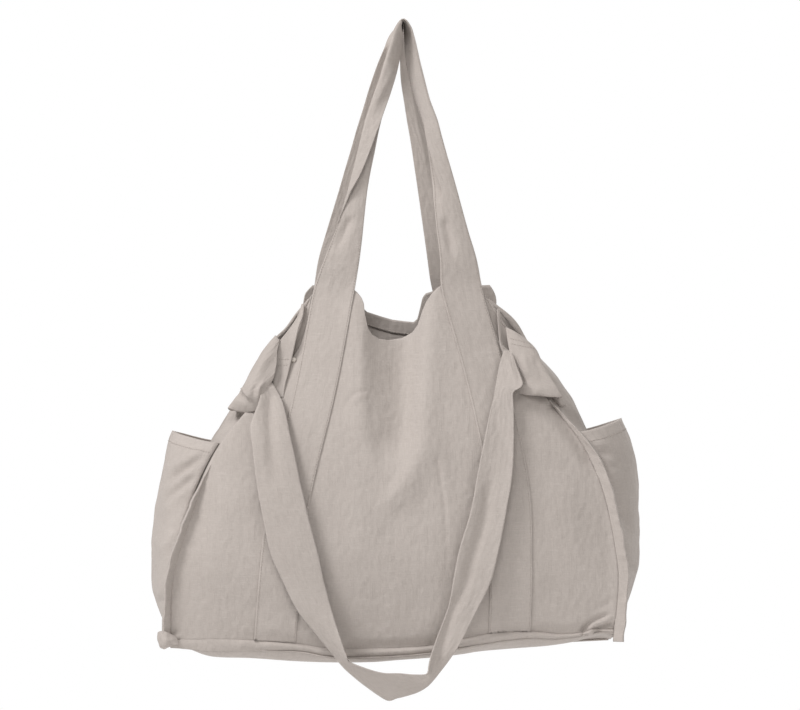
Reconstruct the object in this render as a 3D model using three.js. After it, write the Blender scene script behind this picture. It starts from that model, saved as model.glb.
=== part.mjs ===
// A large soft linen shoulder tote, shaped as it hangs by its two handles from a hook.
// Millimetres, +Z up, the front faces -Y. The origin is the hook point under the handles' crown.
import * as THREE from "three";

// Cloth and sewing
const clothWall = 2; // panels, gussets, pockets and base
const tapeWall = 2.6; // handles, strap and seam flanges, which are folded cloth
const sewnGap = 0.4; // between pieces that are sewn together

// Heights above the base seam
const topHeight = 424; // top edge of the front and back panels, where the handles leave it
const hemHeight = 352; // middle of a gusset's top hem
const hemDrop = 8; // its ends, below the panels' corners
const pocketMouth = 256; // middle of a side pocket's mouth
const pocketCorner = 244; // ends of a side pocket's mouth
const flangeTop = 286; // upper end of the side seam flanges
const studHeight = 336; // press studs beside the side seams
const fullestHeight = 110; // where the front stands out furthest

// Bag body
const baseWidth = 530; // along the base seam
const baseDepth = 184; // from front to back at the base corners
// Middle of the bag, sideways from the hook
const middleLine = profile([[0, -13], [95, -8], [220, -2], [310, -1], [topHeight, -6.6]]);
const frontSag = 62; // how far the front top edge droops between the handles
const backSag = 44; // the same at the back
const sagHalfWidth = 43; // half width of that droop
const valleyHalfWidth = 56; // half width of the fold below it
const valleyDepth = 14; // how far the drooping edge falls into the bag
const valleyFoot = 228; // height where that fold begins
const baseBow = 5; // how far the middle of the base seam hangs below its ends
const baseSag = 22; // how far the base panel hangs below its seam
const baseFlat = 13; // depth below the seam at which the base panel lies flat
// Half widths and half depths at some heights, as shares of the base
const seamHalfWidth = shares(baseWidth,
  [[0, 0.5], [96, 0.4981], [222, 0.4245], [312, 0.2943], [354, 0.2283], [topHeight, 0.1906]]);
const seamHalfDepth = shares(baseDepth,
  [[0, 0.5], [100, 0.4783], [220, 0.3913], [320, 0.25], [topHeight, 0.1685]]);
const middleHalfDepth = shares(baseDepth,
  [[0, 0.5217], [100, 0.5815], [220, 0.5163], [320, 0.3424], [topHeight, 0.1902]]);
const gussetBulge = profile([[0, 2], [120, 10], [240, 16], [300, 28], [345, 35], [topHeight, 30]]);
const pocketBulge = profile([[0, 3], [30, 9], [60, 17], [96, 26], [156, 36], [222, 53], [pocketMouth, 64]]);
const pocketFill = { left: 1.12, right: 0.95 }; // the left pocket stands fuller
const bulgeFullness = 0.7; // below 1 a pocket is boxier than an arch

// Handles, sewn bands and strap
const tapeWidth = 50; // handles and shoulder strap
// Middle of a sewn band, sideways from the middle of its panel
const bandCentre = shares(baseWidth,
  [[0, 0.2642], [96, 0.2585], [180, 0.2453], [284, 0.2038], [372, 0.166], [topHeight, 0.1434]]);
const handleRise = 320; // hook to the top edge of the panels
const hookRadius = 8; // bend of the handles over the hook
const handleSpread = 27; // crown of each handle, in front of or behind the hook
const strapLength = 826; // free shoulder strap between its two roots
const strapRootWidth = 12; // strap gathered at its roots
const strapGather = 100; // length over which it opens to full width
const strapStandoff = 7; // strap in front of the sewn bands
const strapRootOut = 4; // strap roots, outside the side seams
const strapRoots = { left: { height: 314, sewn: 84 }, right: { height: 329, sewn: 75 } }; // sewn above it
const strapEndWidth = 16; // sewn strap ends, narrowed where they go in at the top corners
const strapEndTip = 6;
const strapEndTuck = 6; // how far a sewn end reaches down behind its root
const strapEndMargin = 1.5; // from the corner of the panel to a sewn end

// Trim
const flangeWidth = 13; // raised seam flanges
const facingDepth = 20; // strips that face the top edge inside
const facingMargin = 4; // from a facing's ends to the side seams
const studRadius = 3.5;
const studRise = 2.5;
const studInset = 5; // stud centre, in from the side seam

const baseSeamZ = -(handleRise + topHeight);
const layerStep = clothWall + sewnGap; // one layer of cloth and its gap

const linen = new THREE.MeshStandardMaterial({ color: 0xc8bfb7, roughness: 0.95, metalness: 0 });
const resin = new THREE.MeshStandardMaterial({ color: 0xd6cfc4, roughness: 0.45, metalness: 0 });

const bag = new THREE.Group();

// Curves and surfaces

// A smooth curve through a few [height, size] pairs.
function profile(pairs) {
  const last = pairs.length - 1;
  const slope = (i) => {
    const [lowHeight, lowSize] = pairs[Math.max(i - 1, 0)];
    const [highHeight, highSize] = pairs[Math.min(i + 1, last)];
    return (highSize - lowSize) / (highHeight - lowHeight);
  };
  return (height) => {
    let i = 0;
    while (i < last - 1 && height > pairs[i + 1][0]) i += 1;
    const span = pairs[i + 1][0] - pairs[i][0];
    const t = (height - pairs[i][0]) / span;
    const rise = (3 - 2 * t) * t * t;
    const bend = span * t * (1 - t) * (slope(i) * (1 - t) - slope(i + 1) * t);
    return pairs[i][1] + (pairs[i + 1][1] - pairs[i][1]) * rise + bend;
  };
}

// Such a curve through [height, share of a size] pairs.
function shares(size, pairs) {
  return profile(pairs.map(([height, share]) => [height, share * size]));
}

// A smooth hump: 1 at 0, and 0 from 1 outwards.
function hump(t) {
  return Math.abs(t) < 1 ? (1 - t * t) ** 2 : 0;
}

function atHeight(height) {
  return baseSeamZ + height;
}

// A share from 0 to 1 as a place between low and high.
function between(low, high, share) {
  return low + (high - low) * share;
}

// The outward unit normal of a surface at (a, b), which run from 0 to 1.
function surfaceNormal(place, a, b) {
  const step = 1e-3;
  const low = (t) => Math.max(t - step, 0);
  const high = (t) => Math.min(t + step, 1);
  const alongA = place(high(a), b).sub(place(low(a), b));
  const alongB = place(a, high(b)).sub(place(a, low(b)));
  return alongA.cross(alongB).normalize();
}

// A point at a distance off a surface.
function lifted(place, a, b, distance) {
  return place(a, b).addScaledVector(surfaceNormal(place, a, b), distance);
}

// A closed sheet of cloth: place(a, b) is its outer face, and the wall lies behind that face.
function sheetGeometry(place, columns, rows, wall) {
  const outer = [];
  const inner = [];
  for (let j = 0; j <= rows; j += 1) {
    for (let i = 0; i <= columns; i += 1) {
      outer.push(place(i / columns, j / rows));
      inner.push(lifted(place, i / columns, j / rows, -wall));
    }
  }
  const back = outer.length;
  const at = (i, j) => j * (columns + 1) + i;
  const faces = [];
  for (let j = 0; j < rows; j += 1) {
    for (let i = 0; i < columns; i += 1) {
      const [p, q, r, s] = [at(i, j), at(i + 1, j), at(i + 1, j + 1), at(i, j + 1)];
      faces.push(p, q, r, p, r, s);
      faces.push(back + p, back + r, back + q, back + p, back + s, back + r);
    }
  }
  const rim = [];
  for (let i = 0; i < columns; i += 1) rim.push(at(i, 0));
  for (let j = 0; j < rows; j += 1) rim.push(at(columns, j));
  for (let i = columns; i > 0; i -= 1) rim.push(at(i, rows));
  for (let j = rows; j > 0; j -= 1) rim.push(at(0, j));
  rim.forEach((p, k) => {
    const q = rim[(k + 1) % rim.length];
    faces.push(p, back + p, back + q, p, back + q, q);
  });
  const geometry = new THREE.BufferGeometry();
  const positions = [...outer, ...inner].flatMap((v) => [v.x, v.y, v.z]);
  geometry.setAttribute("position", new THREE.Float32BufferAttribute(positions, 3));
  geometry.setIndex(faces);
  geometry.computeVertexNormals();
  return geometry;
}

function addSheet(name, place, columns, rows, wall) {
  const mesh = new THREE.Mesh(sheetGeometry(place, columns, rows, wall), linen.clone());
  mesh.name = name;
  bag.add(mesh);
}

// A band of even thickness along a path. across(t) is the unit direction of its width at share t of the path.
function addRibbon(name, { path, across, width, steps, columns = 2 }) {
  const centred = (a, b) => path(b).addScaledVector(across(b), (a - 0.5) * width(b));
  addSheet(name, (a, b) => lifted(centred, a, b, tapeWall / 2), columns, steps, tapeWall);
}

// Body surfaces

// A point on the outer face of the front (face -1) or back (face 1) panel. u runs from -1 to 1 across it.
function panelPoint(face, u, height) {
  const seam = seamHalfDepth(height);
  const depth = seam + (middleHalfDepth(height) - seam) * (1 - Math.abs(u) ** 3);
  const rise = THREE.MathUtils.smoothstep(height, valleyFoot, topHeight - frontSag / 2);
  const valley = valleyDepth * hump((u * seamHalfWidth(topHeight)) / valleyHalfWidth) * rise;
  const x = middleLine(height) + u * seamHalfWidth(height);
  return new THREE.Vector3(x, face * (depth - valley), atHeight(height));
}

function panelTop(face, u) {
  const sag = face < 0 ? frontSag : backSag;
  return topHeight - sag * hump((u * seamHalfWidth(topHeight)) / sagHalfWidth);
}

function panelBottom(u) {
  return -baseBow * (1 - u * u);
}

// A point off a panel's face, given by a sideways distance from the middle and a height.
function onPanel(face, sideways, height, lift) {
  const chart = (a, b) => panelPoint(face, -face * (2 * a - 1), b * topHeight);
  const share = 0.5 - (face * sideways) / (2 * seamHalfWidth(height));
  return lifted(chart, share, height / topHeight, lift);
}

// A point out from the left (side -1) or right (side 1) seam. t is -1 at the front, 1 at the back.
function sidePoint(side, t, height, out) {
  const x = middleLine(height) + side * (seamHalfWidth(height) + out);
  return new THREE.Vector3(x, t * (seamHalfDepth(height) - layerStep), atHeight(height));
}

function gussetPoint(side, t, height) {
  return sidePoint(side, t, height, gussetBulge(height) * (1 - t * t));
}

function gussetTop(t) {
  return between(hemHeight, topHeight - hemDrop, Math.abs(t) ** 1.5);
}

// Panels, gussets, base and pockets

const faces = { front: -1, back: 1 };
const sides = { left: -1, right: 1 };

for (const [name, face] of Object.entries(faces)) {
  const shareToU = (a) => -face * (2 * a - 1);
  addSheet(`${name}_panel`, (a, b) => {
    const u = shareToU(a);
    return panelPoint(face, u, between(panelBottom(u), panelTop(face, u), b));
  }, 24, 20, clothWall);

  const insideEdge = (a, b) => {
    const u = (1 - facingMargin / seamHalfWidth(topHeight)) * shareToU(a);
    const height = panelTop(face, u) - between(facingDepth, sewnGap, b);
    return onPanel(face, u * seamHalfWidth(height), height, -layerStep);
  };
  addSheet(`${name}_top_facing`, insideEdge, 24, 1, clothWall / 2);
}

for (const [name, side] of Object.entries(sides)) {
  const shareToT = (a) => side * (2 * a - 1);
  addSheet(`${name}_gusset`, (a, b) => {
    const t = shareToT(a);
    return gussetPoint(side, t, gussetTop(t) * b);
  }, 14, 18, clothWall);

  addSheet(`${name}_side_pocket`, (a, b) => {
    const t = shareToT(a);
    const height = between(sewnGap, between(pocketMouth, pocketCorner, t * t), b);
    const bulge = pocketFill[name] * pocketBulge(height) * (1 - t * t) ** bulgeFullness;
    return sidePoint(side, t, height, layerStep + bulge);
  }, 14, 10, clothWall);
}

const baseHalfLength = seamHalfWidth(0) + gussetBulge(0);
addSheet("base_panel", (a, b) => {
  const u = 2 * a - 1;
  const w = 1 - 2 * b;
  const edge = panelPoint(1, u, 0);
  const sag = Math.min(baseSag * (1 - u ** 4) * (1 - w ** 4), baseFlat + baseBow * u * u);
  const z = atHeight(panelBottom(u)) - layerStep - sag;
  return new THREE.Vector3(middleLine(0) + u * baseHalfLength, w * edge.y, z);
}, 20, 10, clothWall);

// Raised seam flanges: the seam allowance stands out from the corner between two panels

const rootGap = sewnGap + tapeWall / 2;
for (const [faceName, face] of Object.entries(faces)) {
  for (const [sideName, side] of Object.entries(sides)) {
    const outward = new THREE.Vector3(side, face, 0).normalize();
    addRibbon(`${faceName}_${sideName}_seam_flange`, {
      path: (t) => panelPoint(face, side, between(sewnGap, flangeTop, side === face ? 1 - t : t))
        .addScaledVector(outward, rootGap + flangeWidth / 2),
      across: () => outward,
      width: () => flangeWidth,
      steps: 14,
      columns: 1,
    });
  }
  const down = new THREE.Vector3(0, face, -1).normalize();
  addRibbon(`${faceName}_base_flange`, {
    path: (t) => {
      const u = (1 - flangeWidth / seamHalfWidth(0)) * face * (1 - 2 * t);
      const corner = panelPoint(face, u, panelBottom(u));
      corner.z -= layerStep / 2;
      return corner.addScaledVector(down, flangeWidth / 2).add(new THREE.Vector3(0, face * rootGap, 0));
    },
    across: () => down,
    width: () => flangeWidth,
    steps: 14,
    columns: 1,
  });
}

// Handles: two bands sewn up each panel, which run on as one loop over the hook

for (const [faceName, face] of Object.entries(faces)) {
  for (const [sideName, side] of Object.entries(sides)) {
    addSheet(`${faceName}_${sideName}_handle_band`, (a, b) => {
      const height = between(sewnGap, topHeight - 2 * sewnGap, b);
      const centre = side * bandCentre(height);
      return onPanel(face, centre - face * (a - 0.5) * tapeWidth, height, sewnGap + tapeWall);
    }, 3, 20, tapeWall);
  }

  const crown = face * handleSpread;
  const root = (side) => onPanel(face, side * bandCentre(topHeight), topHeight, sewnGap + tapeWall / 2)
    .setZ(atHeight(topHeight + 2 * sewnGap));
  const beside = (side) => new THREE.Vector3(side * hookRadius, crown, -hookRadius);
  const route = new THREE.CatmullRomCurve3([
    root(-face),
    root(-face).lerp(beside(-face), 0.35),
    root(-face).lerp(beside(-face), 0.7),
    beside(-face),
    new THREE.Vector3(0, crown, tapeWall / 2),
    beside(face),
    root(face).lerp(beside(face), 0.7),
    root(face).lerp(beside(face), 0.35),
    root(face),
  ]);
  // The width turns from lying flat on the panel to lying along the hook.
  const across = (t) => {
    const turn = (Math.PI / 2) * Math.sin(Math.PI * t) ** 2;
    const leg = t < 0.5 ? -face : face;
    return new THREE.Vector3(leg * Math.cos(turn), -face * Math.sin(turn), 0);
  };
  addRibbon(`${faceName}_handle`, {
    path: (t) => route.getPointAt(t),
    across,
    width: () => tapeWidth,
    steps: 44,
  });
}

// Shoulder strap: its ends are sewn to the gussets, and it hangs between them in front of the bag

// The curve of a strap of that length that hangs between two points, by share of its length.
function catenary(start, end, length) {
  const span = end.x - start.x;
  const rise = end.z - start.z;
  const chord = Math.sqrt(length * length - rise * rise);
  let [low, high] = [span / 40, span * 4];
  while (high - low > 1e-6) {
    const middle = (low + high) / 2;
    if (2 * middle * Math.sinh(span / (2 * middle)) > chord) low = middle;
    else high = middle;
  }
  const lowest = (start.x + end.x) / 2 - low * Math.atanh(rise / length);
  const arc = (x) => low * Math.sinh((x - lowest) / low);
  const drop = (x) => low * Math.cosh((x - lowest) / low);
  return (share) => {
    const x = lowest + low * Math.asinh(between(arc(start.x), arc(end.x), share) / low);
    return { x, z: start.z + drop(x) - drop(start.x) };
  };
}

const rootPoint = (side, { height }) => sidePoint(side, -1, height, strapRootOut);
const strapLine = catenary(rootPoint(-1, strapRoots.left), rootPoint(1, strapRoots.right), strapLength);
const rootLift = 1.2 + tapeWall / 2; // clear of the sewn end behind
const fullLift = sewnGap + tapeWall + strapStandoff;

// How far the strap has opened from its gathered roots, from 0 to 1.
function strapOpening(share) {
  return THREE.MathUtils.smoothstep(Math.min(share, 1 - share) * strapLength, 0, strapGather);
}

function strapWidth(share) {
  return between(strapRootWidth, tapeWidth, strapOpening(share));
}

// The strap's inner edge lies against the front down to its fullest part, and hangs plumb below it.
function strapPath(share) {
  const { x, z } = strapLine(share);
  const height = Math.max(z - baseSeamZ, fullestHeight);
  const innerEdge = Math.max(Math.abs(x - middleLine(height)) - strapWidth(share) / 2, 0);
  const u = Math.min(innerEdge / seamHalfWidth(height), 1);
  const lift = between(rootLift, fullLift, Math.sqrt(strapOpening(share)));
  return new THREE.Vector3(x, panelPoint(-1, u, height).y - lift, z);
}

addRibbon("shoulder_strap", {
  path: strapPath,
  across: (t) => {
    const step = 1e-3;
    const ahead = strapLine(Math.min(t + step, 1));
    const behind = strapLine(Math.max(t - step, 0));
    return new THREE.Vector3(behind.z - ahead.z, 0, ahead.x - behind.x).normalize();
  },
  width: strapWidth,
  steps: 48,
});

// Each sewn end runs down the front edge of its gusset and stops behind the root that it carries.
for (const [name, side] of Object.entries(sides)) {
  const { height, sewn } = strapRoots[name];
  const level = (t) => height + between(-strapEndTuck, sewn, t);
  const width = (t) => between(strapEndWidth, strapEndTip, t);
  const alongGusset = (t) => {
    const edge = gussetPoint(side, -1, level(t));
    return gussetPoint(side, -0.95, level(t)).sub(edge).setZ(0).normalize();
  };
  addRibbon(`${name}_strap_end`, {
    path: (t) => {
      const along = alongGusset(t);
      const off = new THREE.Vector3(side * along.y, -side * along.x, 0);
      return panelPoint(-1, side, level(t))
        .addScaledVector(along, strapEndMargin + width(t) / 2)
        .addScaledVector(off, sewnGap + tapeWall / 2);
    },
    across: alongGusset,
    width,
    steps: 10,
    columns: 1,
  });
}

// Press studs: a domed cap on each panel beside the side seams

const dome = [new THREE.Vector2(0, 0), new THREE.Vector2(studRadius, 0)];
const domeSteps = 4;
for (let k = 1; k <= domeSteps; k += 1) {
  const turn = (k / domeSteps) * (Math.PI / 2);
  dome.push(new THREE.Vector2(k < domeSteps ? studRadius * Math.cos(turn) : 0, studRise * Math.sin(turn)));
}
const studShape = new THREE.LatheGeometry(dome, 16);
const latheAxis = new THREE.Vector3(0, 1, 0);
for (const [faceName, face] of Object.entries(faces)) {
  for (const [sideName, side] of Object.entries(sides)) {
    const fromMiddle = seamHalfWidth(studHeight) - studInset;
    const meetsBand = fromMiddle - studRadius < bandCentre(studHeight) + tapeWidth / 2 + sewnGap;
    const under = meetsBand ? sewnGap + tapeWall : 0; // then it is set through the band
    const seat = onPanel(face, side * fromMiddle, studHeight, under + 2 * sewnGap);
    const facing = onPanel(face, side * fromMiddle, studHeight, under + studRise).sub(seat).normalize();
    const stud = new THREE.Mesh(studShape, resin.clone());
    stud.name = `${faceName}_${sideName}_press_stud`;
    stud.position.copy(seat);
    stud.quaternion.setFromUnitVectors(latheAxis, facing);
    bag.add(stud);
  }
}

export default bag;
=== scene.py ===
import bpy
import numpy as np
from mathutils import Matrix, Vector


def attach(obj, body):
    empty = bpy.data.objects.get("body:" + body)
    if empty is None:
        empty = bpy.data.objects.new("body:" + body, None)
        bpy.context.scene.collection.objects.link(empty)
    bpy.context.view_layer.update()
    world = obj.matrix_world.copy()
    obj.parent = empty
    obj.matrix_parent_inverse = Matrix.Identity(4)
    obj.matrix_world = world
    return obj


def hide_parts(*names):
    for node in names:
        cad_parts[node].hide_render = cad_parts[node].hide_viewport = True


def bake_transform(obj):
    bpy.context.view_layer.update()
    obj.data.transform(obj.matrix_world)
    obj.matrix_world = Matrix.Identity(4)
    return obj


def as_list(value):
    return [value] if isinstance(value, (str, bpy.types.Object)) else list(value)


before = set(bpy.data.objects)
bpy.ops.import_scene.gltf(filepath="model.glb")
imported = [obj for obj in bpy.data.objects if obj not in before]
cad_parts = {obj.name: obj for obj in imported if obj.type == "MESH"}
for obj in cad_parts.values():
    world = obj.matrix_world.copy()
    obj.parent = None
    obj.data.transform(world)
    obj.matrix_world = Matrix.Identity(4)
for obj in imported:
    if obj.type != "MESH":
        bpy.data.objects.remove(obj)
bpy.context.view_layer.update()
print("frame loaded:", len(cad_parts), "nodes")

# Lengths below are millimetres in the bag's own frame: +Z up, the front faces -Y, the hook at the origin.
# A place read off the photograph is (across, down) in its pixels.
photo = {"hookAcross": 403, "hookDown": 20, "pixel": 1.2}


def fromPhoto(places):
    # sideways place and height of photo places: pixels off the hook times the size of a pixel
    places = np.asarray(places, float)
    sideways = (places[..., 0] - photo["hookAcross"]) * photo["pixel"]
    return np.stack([sideways, (photo["hookDown"] - places[..., 1]) * photo["pixel"]], -1)


def curveThrough(places, sizes):
    # a smooth curve through sizes at rising places: a cubic between neighbours, each slope from the pair
    # around it
    places, sizes = np.asarray(places, float), np.asarray(sizes, float)
    order = np.arange(len(places))
    ahead, behind = np.minimum(order + 1, order[-1]), np.maximum(order - 1, 0)
    steps = (places[ahead] - places[behind]).reshape((-1,) + (1,) * (sizes.ndim - 1))
    slopes = (sizes[ahead] - sizes[behind]) / steps

    def at(where):
        where = np.asarray(where, float)
        i = np.clip(np.searchsorted(places, where, side="right") - 1, 0, len(places) - 2)
        span = places[i + 1] - places[i]
        t = (where - places[i]) / span
        grow = (Ellipsis,) + (None,) * (sizes.ndim - 1)
        t, span = t[grow], span[grow]
        bend = span * t * (1 - t) * (slopes[i] * (1 - t) - slopes[i + 1] * t)
        return sizes[i] + (sizes[i + 1] - sizes[i]) * (3 - 2 * t) * t * t + bend

    return at


def ease(t):
    # 0 below 0, 1 above 1, and a smooth step between
    t = np.clip(t, 0, 1)
    return t * t * (3 - 2 * t)


def hump(t):
    # 1 at 0, easing to 0 at 1 and beyond
    return np.where(np.abs(t) < 1, (1 - np.clip(t * t, 0, 1)) ** 2, 0)


def around(value, place):
    # a hump about a middle, with a reach to both sides
    middle, reach = place
    return hump((value - middle) / reach)


def after(value, place):
    # 0 up to a start, easing to 1 over a run
    start, run = place
    return ease((value - start) / run)


def beyond(share, start):
    # 0 up to a start, easing to 1 at a share of 1
    return ease((share - start) / (1 - start))


lattice = {"cells": 96, "across": 41.3, "up": 47.7}


def crumple(across, up, size, seed):
    # random swells about size wide: random heights on a square lattice, eased from one to the next
    cells = lattice["cells"]
    heights = np.random.default_rng(seed).uniform(-1, 1, (cells, cells))
    i, j = across / size + lattice["across"], up / size + lattice["up"]
    low, left = np.floor(j).astype(int), np.floor(i).astype(int)
    s, t = ease(i - left), ease(j - low)
    pick = lambda row, column: heights[row % cells, column % cells]
    bottom = pick(low, left) * (1 - s) + pick(low, left + 1) * s
    top = pick(low + 1, left) * (1 - s) + pick(low + 1, left + 1) * s
    return bottom * (1 - t) + top * t


def crumpled(kinds, across, up, seed):
    # the sum of crumples that each have a height, a squeeze across and up, a size and a step on the seed
    return sum(height * crumple(across * squeezeAcross, up * squeezeUp, size, seed + step)
               for height, squeezeAcross, squeezeUp, size, step in kinds)


spanSteps = 8  # straight steps for each span of a fold's line


def foldRelief(across, up, folds):
    # each fold is a line of photo places: the cloth rises along it by a height that runs from its first value
    # to its second, falls off as a bell over a width that does so too, wider on the line's left by its lean,
    # and fades over a share at each end
    relief = np.zeros(np.shape(across))
    for line, heights, widths, lean, faded in folds:
        steps = np.linspace(0, len(line) - 1, spanSteps * (len(line) - 1) + 1)
        points = curveThrough(np.arange(len(line)), fromPhoto(line))(steps)
        nearest, side, share = np.full(relief.shape, 1e9), np.zeros(relief.shape), np.zeros(relief.shape)
        for k, (p, q) in enumerate(zip(points[:-1], points[1:])):
            d = q - p
            t = np.clip(((across - p[0]) * d[0] + (up - p[1]) * d[1]) / (d @ d), 0, 1)
            offX, offZ = across - p[0] - t * d[0], up - p[1] - t * d[1]
            far = np.hypot(offX, offZ)
            closer = far < nearest
            nearest = np.where(closer, far, nearest)
            side = np.where(closer, np.sign(d[0] * offZ - d[1] * offX), side)
            share = np.where(closer, (k + t) / (len(points) - 1), share)
        reach = (widths[0] + (widths[1] - widths[0]) * share) * (1 + lean * side)
        ends = ease(share / max(faded[0], 1e-6)) * ease((1 - share) / max(faded[1], 1e-6))
        height = heights[0] + (heights[1] - heights[0]) * share
        relief = relief + height * ends * np.exp(-((nearest / reach) ** 2))
    return relief


# The bag's body, in the same measures as the solids
body = {"top": 424, "rise": 320, "layer": 2.4, "under": 12, "over": 14, "pinch": 4, "pinchReach": 15,
        "flush": (-226, 90), "settle": 5, "seamShare": 0.25,
        "crumples": ((1.5, 0.9, 0.45, 62, 0), (0.7, 1, 0.6, 24, 1), (0.22, 1, 1, 9, 2))}
baseZ = -(body["rise"] + body["top"])
middleLine = curveThrough([0, 95, 220, 310, 424], [-13, -8, -2, -1, -6.6])
seamHalf = curveThrough([0, 96, 222, 312, 354, 424], [265, 264, 225, 156, 121, 101])
seamDepth = curveThrough([0, 100, 220, 320, 424], [92, 88, 72, 46, 31])
fullDepth = curveThrough([0, 100, 220, 320, 424], [96, 107, 95, 63, 35])
gussetBulge = curveThrough([0, 120, 240, 300, 345, 424], [2, 10, 16, 28, 35, 30])
bandCentre = curveThrough([0, 96, 180, 284, 372, 424], [140, 137, 130, 108, 88, 76])

frontFolds = [
    # line, heights at its two ends, widths at them, lean to the line's left, shares over which the ends fade
    ([(404, 262), (403, 326), (402, 380), (402, 420), (396, 450), (393, 475)],
     (-26, -6), (34, 14), -0.26, (0.01, 0.3)),
    ([(370, 262), (366, 300), (362, 340), (361, 400), (363, 440), (369, 475)],
     (9.5, 3), (17, 15), -0.22, (0.02, 0.4)),
    ([(432, 262), (429, 292), (426, 341), (424, 395), (423, 436), (418, 456), (411, 471), (402, 485),
      (388, 500), (372, 512)], (3, 10), (17, 16), 0.33, (0.02, 0.3)),
    ([(436, 452), (445, 517), (446, 592)], (-1.2, -0.8), (2.2, 2.2), 0.0, (0.08, 0.3)),
    ([(443, 452), (452, 517), (453, 592)], (0.5, 0.4), (7, 7), 0.0, (0.15, 0.3)),
    ([(369, 391), (357, 393), (347, 402), (336, 420)], (-1.5, -0.6), (2.2, 3), 0.0, (0.1, 0.5)),
    ([(370, 396), (358, 398), (349, 407)], (1.4, 0.8), (4, 4), 0.0, (0.2, 0.5)),
    ([(376, 430), (382, 452), (380, 478)], (-2, -1), (8, 8), 0.0, (0.3, 0.5)),
    ([(405, 500), (394, 522), (370, 550)], (-1.6, -1.0), (14, 18), 0.3, (0.3, 0.4)),
    ([(345, 480), (362, 520), (372, 570)], (2.4, 1.4), (18, 22), 0.0, (0.4, 0.4)),
    ([(232, 470), (215, 540), (205, 610)], (2.6, 1.4), (22, 22), 0.2, (0.3, 0.3)),
    ([(560, 460), (575, 540), (580, 610)], (2.8, 1.4), (20, 20), -0.2, (0.3, 0.3)),
    ([(600, 500), (607, 545), (606, 600)], (-3, -3), (8, 8), 0.0, (0.3, 0.3)),
    ([(176, 600), (180, 560), (188, 525)], (-2.4, -2), (6, 6), 0.0, (0.3, 0.3)),
    ([(330, 560), (350, 600), (390, 625)], (1.8, 1.0), (24, 24), 0.0, (0.4, 0.4)),
    ([(452, 610), (420, 626), (392, 630)], (1.8, 1.0), (16, 16), 0.2, (0.4, 0.4)),
    ([(240, 430), (262, 470), (250, 520)], (1.8, 1.2), (14, 16), 0.0, (0.4, 0.4)),
]
backFolds = [
    ([(394, 262), (393, 300), (392, 350), (391, 420)], (19, 4), (46, 42), 0.0, (0.01, 0.6)),
    ([(374, 262), (372, 300), (370, 350), (362, 430)], (4.6, 2), (19, 19), 0.0, (0.05, 0.5)),
    ([(445, 262), (446, 300), (448, 350), (450, 430)], (4.6, 2), (18, 18), 0.0, (0.05, 0.5)),
    ([(394, 342), (391, 390), (395, 450), (388, 530)], (-11, -5), (19, 22), 0.1, (0.25, 0.4)),
    ([(363, 350), (354, 410), (350, 490)], (7, 3), (14, 17), 0.0, (0.25, 0.4)),
    ([(434, 350), (443, 420), (437, 510)], (7.5, 3), (14, 18), 0.0, (0.25, 0.4)),
    ([(330, 470), (318, 540), (322, 610)], (5, 2.4), (14, 16), 0.3, (0.3, 0.3)),
    ([(470, 480), (486, 550), (480, 615)], (5, 2.4), (14, 16), -0.3, (0.3, 0.3)),
    ([(210, 520), (240, 560), (280, 580)], (4.5, 2), (14, 18), 0.2, (0.4, 0.4)),
    ([(600, 530), (560, 570), (520, 585)], (4.5, 2), (14, 18), 0.2, (0.4, 0.4)),
    ([(180, 632), (200, 626), (220, 632)], (2.6, 1.4), (5, 5), 0.2, (0.3, 0.3)),
    ([(580, 632), (598, 626), (614, 630)], (2.6, 1.4), (5, 5), 0.2, (0.3, 0.3)),
]

edgeFolds = {
    # folds that run right into the seams
    "front": [
        ([(549, 400), (565, 423), (576, 439), (586, 455), (593, 466), (599, 480)],
         (-6, -5), (9, 7), 0.0, (0.05, 0.4)),
        ([(612, 596), (602, 605), (581, 616)], (-1.8, -1.0), (5, 6), 0.0, (0.3, 0.4)),
        ([(611, 612), (600, 615.5), (590.7, 619), (585, 623.6), (579.5, 631)],
         (-3.5, -5), (3.2, 2.6), 0.0, (0.2, 0.05)),
        ([(611, 617), (599, 621), (591, 625), (587, 630)], (3.2, 3.6), (4, 3.5), 0.0, (0.1, 0.2)),
        ([(611, 622), (603, 624), (596, 626.5), (591, 629.5)], (-4, -3.5), (2.2, 2.2), 0.0, (0.1, 0.2)),
        ([(168, 634), (176, 632), (184.5, 627.5)], (-3.2, -1.4), (2.2, 3), 0.0, (0.05, 0.5)),
        ([(170, 639), (179, 635), (190, 633)], (2.6, 1.2), (4, 5), 0.0, (0.1, 0.5)),
        ([(179, 636), (181, 639), (183.5, 642.5)], (-2.2, -1.6), (2, 2), 0.0, (0.2, 0.2))],
    "back": [],
}

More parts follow.
